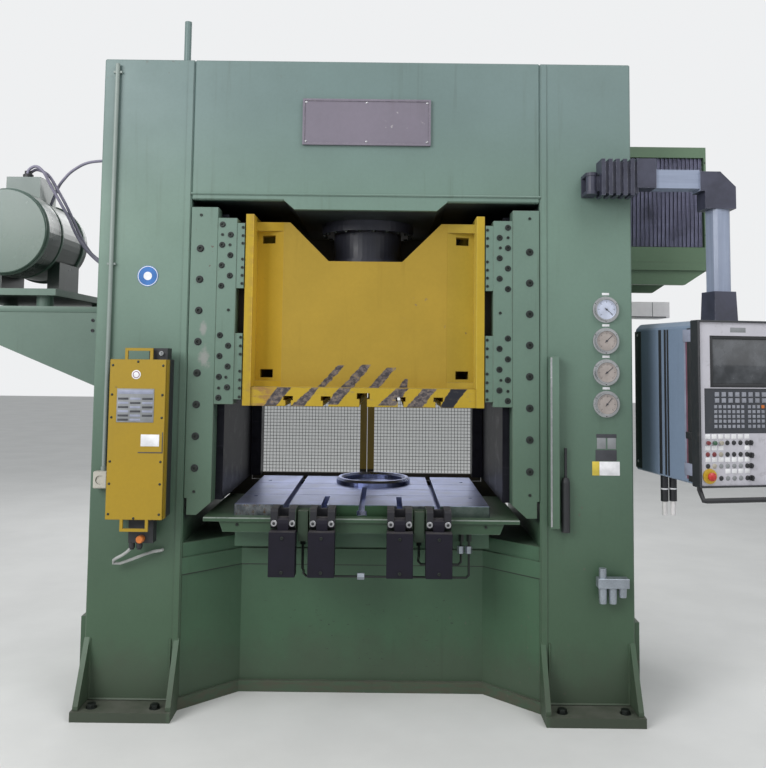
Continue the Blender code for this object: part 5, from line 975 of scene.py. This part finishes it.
def sweep_tree():
    """A round profile along every edge of the drawn path."""
    weave = Weave("sweep_on_path", [
        ("Radius", FLOAT, 0.002), ("Sides", "NodeSocketInt", 6), ("Ripple", FLOAT, 0.0),
        ("Pitch", FLOAT, 0.01)])
    path = weave.add("GeometryNodeMeshToCurve", {"Mesh": weave.given["Geometry"]})
    line = weave.add("GeometryNodeResampleCurve", {
        "Curve": path.outputs[0], "Length": weave.given["Pitch"]}, mode="LENGTH")
    count = weave.add("GeometryNodeInputIndex").outputs[0]
    lift = weave.times(weave.math("MODULO", count, 2.0), weave.given["Ripple"])
    profile = weave.add("GeometryNodeCurvePrimitiveCircle", {
        "Resolution": weave.given["Sides"], "Radius": weave.given["Radius"]})
    swept = weave.add("GeometryNodeCurveToMesh", {
        "Curve": line.outputs[0], "Profile Curve": profile.outputs[0],
        "Scale": weave.plus(1.0, lift), "Fill Caps": True})
    return weave.close(swept.outputs[0])


TREES = {}


def grow(name, mesh, tree, values, finish, **more):
    """Run a tree on a guide mesh and keep the result as a plain piece."""
    weave = TREES[tree] = TREES.get(tree) or tree()
    guide = link(name + "_guide", mesh)
    step = guide.modifiers.new("tree", "NODES")
    step.node_group = weave.tree
    for label, value in {**values, "Finish": finishes()[finish]}.items():
        step[weave.ids[label]] = value
    bpy.context.view_layer.update()
    seen = guide.evaluated_get(bpy.context.evaluated_depsgraph_get())
    made = bpy.data.meshes.new_from_object(seen)
    guide.modifiers.remove(step)
    bpy.data.objects.remove(guide, do_unlink=True)
    if not made.polygons:
        raise RuntimeError(f"{name} came out empty")
    made.name = name
    return show(name, made, finish, **more)


ANY_TURN = 6.0    # radians over which copies are turned at random


def spread(name, head, spots, size, finish, turn=0.0, **more):
    """Copies of a head at (point, aim) spots as one piece."""
    mesh = bpy.data.meshes.new(name + "_points")
    mesh.from_pydata([tuple(spot) for spot, _ in spots], [], [])
    aim = mesh.attributes.new("aim", "FLOAT_VECTOR", "POINT")
    for item, (_, direction) in zip(aim.data, spots):
        item.vector = tuple(direction)
    return grow(name, mesh, spread_tree, {"Template": template(head), "Size": size,
                                          "Turn": turn}, finish, **more)


def screws(name, head, spots, size, finish="screw_steel", **more):
    """Heads that are each turned at random."""
    return spread(name, head, spots, size, finish, ANY_TURN, **more)


def sweep(name, paths, radius, finish, sides=6, pitch=0.02, ripple=0.0, **more):
    """Round bars along open or closed paths as one piece."""
    points, edges = [], []
    for path in paths:
        start = len(points)
        points += [tuple(p) for p in path]
        edges += [(start + i, start + i + 1) for i in range(len(path) - 1)]
    mesh = bpy.data.meshes.new(name + "_path")
    mesh.from_pydata(points, edges, [])
    return grow(name, mesh, sweep_tree, {"Radius": radius, "Sides": sides, "Pitch": pitch,
                                         "Ripple": ripple}, finish, **more)


def blocks(name, limits, finish, bevel=0.001, **more):
    """Rounded boxes as one piece."""
    bm = bmesh.new()
    for low, high in limits:
        add_block(bm, low, high, bevel)
    return claim(name, bm, finish, **more)


def plates(name, areas, y, thick, finish, bevel, back=0.0, **more):
    """Thin upright plates before a plane, each given by its corners in x and z."""
    return blocks(name, [((x0, y - thick, z0), (x1, y - back, z1))
                         for (x0, z0), (x1, z1) in areas], finish, bevel, **more)


def grid(xs, y, zs, aim=FORWARD):
    """Spots of an upright grid, column by column."""
    return [((x, y, z), aim) for x in xs for z in zs]


def turns(count, shift=0.0):
    """Angles evenly spaced round a circle."""
    return [math.tau * (i + shift) / count for i in range(count)]


# ---- pieces


def finish_nodes():
    """Give every packed node its finish."""
    made = finishes()
    for finish, nodes in CAD_FINISH.items():
        for node in nodes.split():
            mesh = frame["nodes"][node].data
            mesh.materials.clear()
            mesh.materials.append(made[finish])


def guide_screws():
    """Screws of the guide plates, gib plates and wedge strips."""
    sizes = bpy.context.scene.press_sizes
    large, small, tiny = [], [], []
    for side in (-1, 1):
        large += grid([side * 0.828], FRONT, [2.250 - 0.156 * i for i in range(8)])
        tiny += grid([side * 0.828], FRONT, (2.42, 1.044))
        small += [((side * (0.677 if i % 2 else 0.719), FRONT, top - 0.0517 * i), FORWARD)
                  for top in (2.373, 1.815) for i in range(7)]
        tiny += [((side * x, FRONT, z), FORWARD) for x, z in (
            (0.719, 2.322), (0.680, 2.270), (0.680, 1.942), (0.684, 1.607), (0.719, 1.553))]
        tiny += grid([side * 0.616], FRONT + 0.004, (
            2.360, 2.318, 2.279, 2.199, 2.157, 2.117, 2.076, 1.806, 1.763, 1.722, 1.637, 1.594,
            1.553, 1.510))
    for name, spots, size, ring, finish in (
            ("guide", large, sizes.large_screw, 1.28, "line_enamel"),
            ("gib", small, sizes.small_screw, 1.25, "screw_steel")):
        # Painted shade: a dark ring under each head stands in for the shade inside its
        # counterbore.
        spread(name + "_screw_seats", "sunk_ring", spots, size * ring, "black_iron",
               slot="slide_steel")
        screws(name + "_screws", "cap_screw", spots, size, finish)
    screws("strip_screws", "cap_screw", tiny, sizes.tiny_screw)


def fasteners():
    """Name plate screws, foot bolts, cylinder bolts and the shelf's small screws."""
    low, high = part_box("name_plate")
    inset = 0.018
    spread("plate_screws", "pan_screw",
           grid((low.x + inset, (low.x + high.x) / 2, high.x - inset), low.y + 0.004,
                (low.z + inset, high.z - inset)), 0.006, "bright_steel")
    screws("foot_bolts", "hex_bolt", [((side * x, end * 0.640, 0.045), UP) for side in (-1, 1)
                                      for x in (0.965, 1.265) for end in (-1, 1)], 0.024)
    for name, head, radius, count, z, size in (
            ("gland_bolts", "cap_screw", 0.197, 12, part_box("main_cylinder")[0].z, 0.011),
            ("collar_bolts", "hex_bolt", 0.243, 20, 2.3997, 0.012)):
        screws(name, head, [((radius * math.cos(t), radius * math.sin(t), z), DOWN)
                            for t in turns(count, 0.5)], size)
    screws("small_foot_screws", "cap_screw",
           grid([side * x for side in (-1, 1) for x in (0.30, 0.61)], -0.5605, [0.889]),
           bpy.context.scene.press_sizes.tiny_screw)


def weld_beads():
    """Rippled beads along the frame's seams."""
    paths = []
    for end in (-1, 1):
        y = end * 0.5505
        paths.append([(-0.884, y, 2.53), (0.884, y, 2.53)])
        for side in (-1, 1):
            paths.append([(side * 0.925, y, 0.049), (side * 1.312, y, 0.049)])
            for x in (side * 0.9225, side * 1.3125):
                paths.append([(x, y, 0.050), (x, y, 0.335)])
    for side in (-1, 1):
        for x, z in ((side * 1.3735, 0.0075), (side * 1.345, 0.432)):
            paths.append([(x, -0.515, z), (x, 0.515, z)])
    sweep("weld_beads", paths, bpy.context.scene.press_sizes.bead, "frame_enamel",
          pitch=0.011, ripple=0.22)


def gauges():
    """Dials, scales, pointers and screws of the pressure gauges."""
    for index, hand_turn in enumerate((-40, 44, 40, 52)):
        number = index + 1
        low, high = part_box(f"gauge_{number}")
        x, _, z = (low + high) / 2
        face = aimed((x, low.y + 0.0058, z), FORWARD)
        stack(f"gauge_dial_{number}", puck(0.0485, 0.0012, -0.0004, 0.0495),
              "dial_cream" if index else "dial_white", 36, face)
        marks = bmesh.new()
        for i in range(31):
            inner, half = (0.038, 0.0005) if i % 5 else (0.034, 0.0009)
            piece = add_block(bmesh.new(), (inner, -half, 0.0010), (0.043, half, 0.0018))
            turn = math.radians(-135 + 270 * i / 30)
            piece.transform(face @ Matrix.Rotation(math.pi / 2 - turn, 4, "Z"))
            mesh = mesh_from("mark", piece)
            marks.from_mesh(mesh)
            bpy.data.meshes.remove(mesh)
        claim(f"gauge_scale_{number}", marks, "label_dark")
        hand = add_block(bmesh.new(), (-0.012, -0.0014, 0.0024), (0.038, 0.0014, 0.0032),
                         0.0004)
        hand_place = face @ Matrix.Rotation(math.radians(hand_turn), 4, "Z")
        claim(f"gauge_hand_{number}", add_stack(hand, puck(0.0045, 0.0050, 0.0010, 0.0052), 14),
              "label_dark", place=hand_place)
        spread(f"gauge_screws_{number}", "pan_screw",
               [((x + 0.0605 * math.cos(t), high.y - 0.006, z + 0.0605 * math.sin(t)), FORWARD)
                for t in map(math.radians, (30, 150, 270))],
               0.0028, "screw_steel", slot="chrome")


def column_plates():
    """Bare plates, labels and the round sign on the columns."""
    y = FRONT - SKIN_GAP
    for name, finish, thick, areas in (
            ("tag_strips", "label_grey", 0.0015, [((1.160, 1.275), (1.204, 1.345)),
                                                  ((1.212, 1.275), (1.254, 1.345))]),
            ("tag_dark", "label_dark", 0.0018, [((1.153, 1.216), (1.257, 1.270)),
                                                ((1.157, 1.329), (1.257, 1.348))]),
            ("tag_white", "label_white", 0.0010, [((1.172, 1.145), (1.272, 1.213))]),
            ("tag_yellow", "label_yellow", 0.0010, [((1.136, 1.145), (1.1715, 1.213))]),
            ("gauge_tags", "label_white", 0.0012, [((1.190, z - 0.006), (1.226, z + 0.006))
                                                   for z in (2.043, 1.8865, 1.730, 1.5735)])):
        plates(name, areas, y, thick, finish, 0.0004, slot="signal_cream")
    face = aimed((-1.088, y, 2.108), FORWARD)
    stack("round_sign", puck(0.0525, 0.0012), "sign_blue", 40, face)
    rim = add_stack(bmesh.new(), tube(0.0470, 0.0500, 0.0018, 0.0008), 40, face)
    claim("round_sign_marks", add_stack(rim, puck(0.021, 0.0018, 0.0008), 28, face),
          "label_white")


def control_box():
    """Screws, plates and plugs of the control box on the left column."""
    low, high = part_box("curtain_cover")
    spread("cover_screws", "pan_screw",
           grid((low.x + 0.014, high.x - 0.014), low.y,
                (1.662, 1.522, 1.4135, 1.205, 1.100, 0.958))
           + grid([(low.x + high.x) / 2], low.y, (1.680, 0.939)),
           0.0062, "screw_steel", slot="black_oxide")
    y = low.y - SKIN_GAP
    plates("cover_rating_plate", [((-1.174, 1.391), (-0.996, 1.551))], y, 0.0018,
           "label_grey", 0.0006)
    fields = [((-1.168, 1.526), (-1.002, 1.544))]
    fields += [((x, z), (x + 0.050, z + 0.010))
               for z in (1.398, 1.418, 1.438, 1.458, 1.478, 1.498)
               for x in (-1.168, -1.110, -1.052) if (x, z) != (-1.052, 1.398)]
    for name, mine, finish in (("cover_rating_fields", fields[::2], "clip_grey"),
                               ("cover_rating_marks", fields[1::2], "label_dark")):
        plates(name, mine, y, 0.0022, finish, 0.0002, back=0.0014, slot="signal_cream")
    blocks("cover_returns", [((high.x - SKIN_GAP, -0.6902, 0.9325),
                              (high.x + 0.0022, -0.640, 1.6905))], "cover_enamel", 0.0006)
    plates("cover_sticker", [((-1.054, 1.278), (-0.966, 1.334))], y, 0.0008,
           "label_white", 0.0003)
    plates("cover_flap_line", [((-1.066, 1.246), (-0.948, 1.251)),
                               ((-0.9525, 1.252), (-0.948, 1.345))], y, 0.0010,
           "label_dark", 0.0003)
    badge = aimed((-1.085, y, 1.618), FORWARD)
    stack("cover_badge", puck(0.021, 0.0015, 0.0, 0.022), "label_white", 28, badge)
    stack("cover_badge_ring", tube(0.013, 0.0165, 0.0019, 0.0012), "seal_red", 28, badge)
    plug = bmesh.new()
    wide, narrow = 0.0145, 0.0145 * 0.7
    for x in (-1.098, -1.062):
        add_stack(plug, [(0, 0.0), (wide, 0.0), (wide, 0.024), (narrow, 0.027),
                         (narrow, 0.032), (0, 0.032)], 20,
                  aimed((x, -0.640, 0.932 - 0.118), DOWN))
    claim("cover_plugs", plug, "black_plastic")
    stack("cover_plug_cap", [(0, 0.034), (0.014, 0.034), (0.018, 0.029), (0.018, 0.0),
                             (0, 0.0)], "orange_cap", 22, aimed((-1.051, -0.652, 0.836), FORWARD))


def receiver_line():
    """The bright window strip of the light-curtain bar."""
    low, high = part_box("curtain_receiver")
    x = low.x + 0.006
    plates("receiver_line", [((x - 0.004, low.z + 0.01), (x + 0.004, high.z - 0.004))],
           low.y, 0.0012, "bright_steel", 0.0004, back=0.0001)


def table_details():
    """Bolts and screws of the folding consoles, and unions of their lines."""
    ears = grid([x + hand * EAR_OFFSET for x in CONSOLES for hand in (-1, 1)], -0.6368, [0.912])
    screws("ear_bolts", "cap_screw", ears, 0.0155, "bright_steel")
    spread("ear_sockets", "pan_screw", [((x, y - 0.0052, z), aim) for (x, y, z), aim in ears],
           0.0085, "black_plastic")
    nuts = bmesh.new()
    for place in (Matrix.Translation((0.528, -0.537, 0.7585)),
                  Matrix.Translation((0.489, -0.537, 0.7585)),
                  aimed((-0.017, -0.537, 0.642), RIGHT)):
        add_stack(nuts, [(0, 0.0), (0.0148, 0.0, "hex"), (0.0148, 0.034, "hex"), (0, 0.034)],
                  6, place)
    claim("line_unions", nuts, "air_alloy", smooth=False)
    for number, x in enumerate(CONSOLES, 1):
        screws(f"console_screws_{number}", "cap_screw", grid([x], -0.6802, (0.690, 0.850)),
               0.008, body=f"console_{number}")


def guard_wires():
    """Woven wire panels in place of the thin guard plates."""
    sizes = bpy.context.scene.press_sizes
    half = sizes.wire * 0.5
    for word in ("left", "right"):
        low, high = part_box(f"guard_mesh_{word}")
        y = (low.y + high.y) / 2
        count = int((high.x - low.x) / sizes.wire_pitch)
        rows = int((high.z - low.z) / sizes.wire_pitch)
        gap, rise = (high.x - low.x) / count, (high.z - low.z) / rows
        paths = [[(low.x + i * gap, y - half, z) for z in (low.z, high.z)]
                 for i in range(1, count)]
        paths += [[(x, y + half, low.z + i * rise) for x in (low.x, high.x)]
                  for i in range(1, rows)]
        piece = sweep(f"guard_wires_{word}", paths, sizes.wire, "black_iron",
                      body=f"guard_{word}", sides=4, pitch=2.0)
        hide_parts(f"guard_mesh_{word}")


def cooler_details():
    """Fins, rear grille, hub and screws of the oil cooler."""
    low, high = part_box("cooler")
    y, back = low.y, high.y
    bar = 0.12    # how far the cross bars lie inside the fins' ends
    x0, x1 = low.x + 0.014, high.x - 0.014
    z0, z1 = 2.335, 2.824
    count = int((x1 - x0) / bpy.context.scene.press_sizes.fin_pitch)
    fins = bmesh.new()
    for i in range(1, count):
        x = x0 + (x1 - x0) * i / count
        add_block(fins, (x - 0.0011, y + 0.006 + 0.004 * (i * 7 % 3), z0),
                  (x + 0.0011, y + 0.0299, z1))
    for z in (z0 + bar, z1 - bar):
        add_block(fins, (x0, y + 0.026, z - 0.003), (x1, y + 0.0295, z + 0.003), 0.001)
    claim("cooler_fins", fins, "fin_alloy", smooth=False)
    fan_x, fan_z = 1.597, 2.505

    def spoke(radius, depth, t):
        return (fan_x + radius * math.cos(t), back - depth, fan_z + radius * math.sin(t))

    wires = [[spoke(radius, 0.006, math.tau * i / 28) for i in range(29)]
             for radius in (0.05, 0.085, 0.12, 0.155)]
    wires += [[spoke(radius, 0.008, t) for radius in (0.02, 0.165)] for t in turns(8)]
    sweep("cooler_grille", wires, 0.0025, "black_iron", sides=5)
    stack("cooler_hub", puck(0.035, 0.020, 0.0, 0.040), "black_plastic", 24,
          aimed((fan_x, back - 0.0298, fan_z), BACKWARD))
    spread("cooler_screws", "pan_screw",
           grid((low.x + 0.006, high.x - 0.006), y, (2.40, 2.60, 2.80)),
           0.005, "screw_steel", slot="black_oxide")


def side_box_details():
    """Lid seam, foot shadow strip and plug of the grey box behind the desk."""
    low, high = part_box("side_box")
    y = low.y - SKIN_GAP
    blocks("side_box_lines", [((1.546, y - 0.0008, low.z + 0.002), (1.5485, y, high.z - 0.002)),
                              ((low.x, y - 0.0012, low.z), (high.x - 0.020, y, low.z + 0.006))],
           "label_dark", 0.0002)
    blocks("side_box_plug", [((low.x + 0.0005, -0.190, high.z), (1.428, -0.050, 2.056))],
           "black_plastic", 0.003)


def eased(points, steps=6):
    """A smooth path through points."""
    points = [Vector(p) for p in points]
    ends = [points[0] * 2 - points[1], *points, points[-1] * 2 - points[-2]]
    path = []
    for a, b, c, d in zip(ends, ends[1:], ends[2:], ends[3:]):
        for t in (i / steps for i in range(steps)):
            path.append((2 * b + (c - a) * t + (2 * a - 5 * b + 4 * c - d) * t ** 2
                         + (3 * b - 3 * c + d - a) * t ** 3) / 2)
    return [*path, points[-1]]


HOSES = (
    ((-2.018, 0.150, 2.752), (-2.010, 0.150, 2.795), (-1.969, 0.150, 2.817),
     (-1.922, 0.150, 2.783), (-1.877, 0.160, 2.698), (-1.826, 0.170, 2.608),
     (-1.779, 0.190, 2.519), (-1.739, 0.200, 2.429), (-1.688, 0.210, 2.348),
     (-1.628, 0.220, 2.283), (-1.540, 0.230, 2.215), (-1.450, 0.235, 2.165),
     (-1.360, 0.240, 2.140)),
    ((-2.022, 0.180, 2.752), (-2.010, 0.180, 2.785), (-1.970, 0.180, 2.803),
     (-1.903, 0.180, 2.769), (-1.853, 0.190, 2.689), (-1.802, 0.200, 2.598),
     (-1.765, 0.220, 2.514), (-1.724, 0.230, 2.423), (-1.678, 0.240, 2.342),
     (-1.633, 0.250, 2.292), (-1.540, 0.257, 2.230), (-1.450, 0.262, 2.188),
     (-1.360, 0.265, 2.165)),
    ((-1.925, 0.260, 2.590), (-1.913, 0.260, 2.613), (-1.894, 0.260, 2.666),
     (-1.871, 0.260, 2.724), (-1.841, 0.260, 2.767), (-1.796, 0.260, 2.815),
     (-1.715, 0.260, 2.863), (-1.622, 0.260, 2.879), (-1.500, 0.262, 2.883),
     (-1.360, 0.262, 2.880)),
)


def motor_details():
    """Bands, end shield, hoses and bolts of the power unit."""
    x, _, z = Vector((-2.03, 0.0, 2.395))
    bands = bmesh.new()
    for y0, y1 in ((0.128, 0.146), (0.470, 0.492)):
        add_stack(bands, tube(0.230, 0.2455, 0.0, y1 - y0), 64, aimed((x, y0, z), BACKWARD))
    claim("motor_bands", bands, "unit_enamel")
    stack("motor_shield", [(0, 0.0006), (0.233, 0.0006), (0.239, -0.006), (0.239, -0.030),
                           (0, -0.030)], "motor_enamel", 64, aimed((x, -0.1000, z), FORWARD))
    stack("motor_gland", [(0, -0.002), (0.030, -0.002), (0.030, 0.018), (0.021, 0.024),
                          (0.021, 0.040), (0, 0.040)], "black_plastic", 24,
          Matrix.Translation((-2.018, 0.165, 2.750)))
    sweep("motor_hoses", [eased(path) for path in HOSES], 0.0088, "hose_rubber", sides=12,
          pitch=0.012)
    spread("terminal_screws", "pan_screw", [((x + dx, 0.136 + y, 2.7502), UP)
                                            for dx in (-0.085, 0.085) for y in (0.015, 0.210)],
           0.007, "screw_steel")
    screws("motor_bolts", "hex_bolt", [((bolt, y, 2.0635), UP)
                                       for bolt in (-2.235, -2.170, -1.89, -1.825)
                                       for y in (0.23, 0.49)], 0.012)
    low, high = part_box("motor_bracket")
    blocks("bracket_flange", [((low.x + 0.001, low.y - 0.004, 1.937),
                               (high.x - 0.001, low.y + 0.002, high.z - 0.0005))],
           "unit_enamel")
    screws("bracket_screws", "cap_screw", grid([-1.464], low.y, (1.895, 1.840)), 0.009,
           "black_iron")
    screws("bracket_bolts", "hex_bolt", [((-1.3555, y, z), LEFT)
                                         for y in (-0.15, 0.05, 0.25, 0.42)
                                         for z in (1.58, 1.74, 1.90)], 0.016)


DESK = {"body": "desk", "place": DESK_PLACE}
CELL, CELL_LEFT = 0.0335, -0.175    # pitch and first column of the desk's labels and caps
CAP_ROWS = (1.337, 1.284, 1.231, 1.175)
CAPS = {    # finish and (column, row) of each kind of cap
    "black": ("black_plastic", ((3, 0), (4, 0), (5, 0), (6, 0), (3, 1), (4, 1), (5, 1), (6, 1),
                                (0, 2), (6, 2), (6, 3), (2, 3))),
    "red": ("push_red", ((0, 1), (1, 1))),
    "pale": ("push_cream", ((2, 1), (1, 2))),
    "grey": ("label_grey", ((2, 2), (3, 2), (4, 2), (5, 2), (3, 3), (4, 3), (5, 3))),
}


def on_desk(name, head, spots, size, finish, y=DESK_PANEL, aim=DESK_OUT):
    """Heads at (x, z) places on a face of the desk."""
    spread(name, head, [(DESK_PLACE @ Vector((x, y, z)), aim) for x, z in spots], size, finish,
           body="desk")


def desk_sides(name, finish, spans, z0, z1, bevel, inset=0.0):
    """Blocks on both sides of the desk, each given as start, end and how far it stands out."""
    limits = []
    for x, way in ((DESK_LEFT, -1), (DESK_RIGHT, 1)):
        for y0, y1, proud in spans:
            near, far = sorted((x - way * inset, x + way * proud))
            limits.append(((near, y0, z0), (far, y1, z1)))
    blocks(name, limits, finish, bevel, **DESK)


def desk_details():
    """Screen, keys, caps, labels and side trim of the control desk."""
    face = DESK_PANEL
    x0, x1, z0, z1 = -0.140, 0.198, 1.609, 1.818
    glass = add_block(bmesh.new(), (x0, face + 0.0085, z0), (x1, face + 0.0118, z1), 0.004, 3)
    claim("desk_screen", glass, "crt_glass", **DESK)
    rim_foot, rim_top = 1.5935, 1.8315
    plates("desk_screen_trim", [((-0.1555, rim_foot), (x0, rim_top)),
                                ((x1, rim_foot), (0.2135, rim_top)),
                                ((x0, rim_foot), (x1, z0)), ((x0, z1), (x1, rim_top))],
           face, -0.003, "black_plastic", 0.0015, back=-0.0118, **DESK)
    plates("desk_small_plate", [((-0.050, 1.850), (0.030, 1.872))], face, 0.0008,
           "label_grey", 0.0003, back=-SKIN_GAP, **DESK)
    rows, marked = (1.503, 1.480, 1.458, 1.436, 1.412), (3, 1.503)
    left, right = (-0.1295, 0.0232, 7), (0.0447, 0.0236, 8)
    small = [(start + pitch * i, z) for start, pitch, count in (left, right)
             for i in range(count) for z in rows if start == left[0] or (i, z) != marked]
    for name, spots, size, finish in (
            ("large_keys", [(-0.122 + 0.0348 * i, z) for i in range(10) for z in (1.560, 1.532)],
             0.0112, "key_pale"),
            ("small_keys", small, 0.0078, "key_pale"),
            ("marked_key", [(right[0] + right[1] * marked[0], marked[1])], 0.0078,
             "orange_cap")):
        on_desk("desk_" + name, "key_cap", spots, size, finish, face + 0.0042)
    labels = [(CELL_LEFT + CELL * column, z)
              for z, columns in ((1.366, range(7)), (1.313, (0, 1, 2, 6)), (1.260, range(7)),
                                 (1.207, (3, 4, 5, 6))) for column in columns]
    plates("desk_labels", [((x - 0.0125, z - 0.0105), (x + 0.0125, z + 0.0105))
                           for x, z in labels], face, 0.0012, "label_white", 0.0003,
           back=-SKIN_GAP, **DESK)
    for kind, (finish, cells) in CAPS.items():
        on_desk(f"desk_caps_{kind}", "pan_screw",
                [(CELL_LEFT + CELL * column, CAP_ROWS[row]) for column, row in cells],
                0.0115, finish)
    on_desk("desk_rotary", "turn_knob", [(0.045, CAP_ROWS[row]) for row in (0, 2)], 0.0125,
            "black_plastic")
    desk_sides("desk_side_ribs", "black_plastic",
               ((0.176, 0.201, 0.0025), (0.131, 0.148, 0.0025), (0.107, 0.121, 0.0025),
                (-0.1015, -0.068, 0.0045)), 1.150, 1.868, 0.0009)
    desk_sides("desk_rear_halves", "desk_shell", [(0.2025, 0.3805, 0.0018)], 1.148, 1.870,
               0.0, 0.001)
    desk_sides("desk_seal", "seal_red", [(-0.067, -0.052, 0.002)], 1.160, 1.862, 0.0005)
    desk_sides("desk_seal_edge", "clip_grey", [(-0.050, -0.036, 0.002)], 1.160, 1.862, 0.0005)
    proud, sunk = DESK_LEFT - 0.0075, DESK_LEFT + 0.001
    blocks("desk_clips", [((proud, -0.118, foot), (sunk, -0.036, top))
                          for foot, top in ((1.804, 1.862), (1.178, 1.234))],
           "clip_grey", 0.002, slot="aluminium", **DESK)
    blocks("desk_latch", [((proud, -0.104, 1.347), (sunk, -0.052, 1.380))], "black_plastic",
           0.003, **DESK)
    desk_sides("desk_rear_rails", "rail_enamel", [(0.381, 0.4465, 0.004)], 1.152, 1.866, 0.002)
    on_desk("desk_rail_screws", "pan_screw", [(DESK_LEFT - 0.004, z) for z in (1.846, 1.186)],
            0.0075, "bright_steel", 0.418, DESK_PLACE.to_3x3() @ LEFT)
    for name, rings, finish in (
            ("rings", tube(0.0185, 0.0198, 1.064, 1.071), "label_white"),
            ("ends", tube(0.0115, 0.0128, 0.9352, 1.004), "box_enamel")):
        bm = bmesh.new()
        for x in (-0.165, -0.118):
            add_stack(bm, rings, 24, Matrix.Translation((x, 0.245, 0.0)))
        claim("desk_gland_" + name, bm, finish, **DESK)


def stage():
    """Pale floor, soft light and the camera at the photograph's angle."""
    scene = bpy.context.scene
    settings = scene.press_stage
    bm = bmesh.new()
    bmesh.ops.create_grid(bm, x_segments=1, y_segments=1, size=30.0)
    floor = link("floor", mesh_from("floor", bm))
    coat = Coat("floor_concrete")
    base = coat.blend(coat.patch(1.6, 6.0, 0.6, 0.3, 0.7), scaled(settings.floor, 0.93),
                      tuple(settings.floor))
    coat.feed(coat.shader.inputs["Base Color"], base)
    coat.shader.inputs["Roughness"].default_value = 0.7
    floor.data.materials.append(coat.made)
    floor.location.z = -0.0005
    scene.world = bpy.data.worlds.new("studio")
    scene.world.use_nodes = True
    graph = Graph(scene.world.node_tree)
    graph.tree.nodes.clear()
    path = graph.add("ShaderNodeLightPath").outputs
    seen = graph.top(path["Is Camera Ray"], graph.times(path["Is Glossy Ray"], 0.35))
    light, backdrop = (graph.add("ShaderNodeBackground", {"Color": (*colour, 1.0),
                                                          "Strength": strength}).outputs[0]
                       for colour, strength in (((0.95, 0.98, 1.0), settings.world),
                                                ((0.86, 0.87, 0.88), 1.0)))
    both = graph.add("ShaderNodeMixShader", {0: seen, 1: light, 2: backdrop}).outputs[0]
    graph.add("ShaderNodeOutputWorld", {"Surface": both})
    for name, spot, aim, size, share in (
            ("key", (-4.4, -4.8, 4.6), (-0.3, 0.0, 1.6), 3.6, 1.0),
            ("top", (2.4, -3.0, 6.2), (0.9, -0.5, 3.2), 3.0, 0.36),
            ("fill", (4.8, -3.2, 3.4), (0.0, 0.0, 1.5), 4.0, 0.10),
            ("rear", (-0.5, 5.0, 5.0), (0.0, 0.0, 1.6), 4.0, 0.45)):
        lamp = bpy.data.lights.new(name, "AREA")
        lamp.size, lamp.energy = size, settings.key_power * share
        holder = link(name, lamp)
        holder.location = spot
        holder.rotation_euler = (Vector(aim) - Vector(spot)).to_track_quat(
            "-Z", "Y").to_euler()
    data = bpy.data.cameras.new("camera")
    data.lens, data.sensor_width = settings.lens, 36.0
    data.shift_x, data.shift_y = -0.0039, -0.112
    scene.camera = link("camera", data)
    scene.camera.location = (0.108, -4.75, 1.71)
    pitch, roll = math.radians(4.1), math.radians(0.66)
    turn = Matrix.Rotation(math.radians(90.0) + pitch, 4, "X") @ Matrix.Rotation(roll, 4, "Z")
    scene.camera.rotation_euler = turn.to_euler()
    scene.view_settings.view_transform = "Standard"


def action(work):
    """An operator class that runs one builder."""
    def execute(self, context):
        work()
        return {"FINISHED"}
    return type("PRESS_OT_" + work.__name__, (bpy.types.Operator,), {
        "bl_idname": "press." + work.__name__, "__doc__": work.__doc__, "execute": execute,
        "bl_label": work.__name__.replace("_", " ").capitalize()})


ACTIONS = [action(work) for work in (
    stage, finish_nodes, guide_screws, fasteners, weld_beads, gauges, column_plates,
    control_box, receiver_line, table_details, guard_wires, cooler_details, side_box_details,
    motor_details, desk_details)]


class PRESS_PT_panel(bpy.types.Panel):
    """Lists the steps that dress the press."""

    bl_label = "Press"
    bl_space_type = "VIEW_3D"
    bl_region_type = "UI"
    bl_category = "Press"

    def draw(self, context):
        for entry in ACTIONS:
            self.layout.operator(entry.bl_idname)


SETTINGS = {"press_colours": PressColours, "press_sizes": PressSizes,
            "press_stage": StageSettings}
CLASSES = [*SETTINGS.values(), *ACTIONS, PRESS_PT_panel]


def register():
    for entry in CLASSES:
        bpy.utils.register_class(entry)
    for name, kind in SETTINGS.items():
        setattr(bpy.types.Scene, name, bpy.props.PointerProperty(type=kind))


def unregister():
    for name in SETTINGS:
        delattr(bpy.types.Scene, name)
    for entry in reversed(CLASSES):
        bpy.utils.unregister_class(entry)


def main():
    """Register, run every step in order and write the two boxes."""
    register()
    for entry in ACTIONS:
        group, step = entry.bl_idname.split(".")
        getattr(getattr(bpy.ops, group), step)()
    for found in [o for o in bpy.data.objects if o.name.startswith("template_")]:
        bpy.data.objects.remove(found, do_unlink=True)


if __name__ == "__main__":
    main()
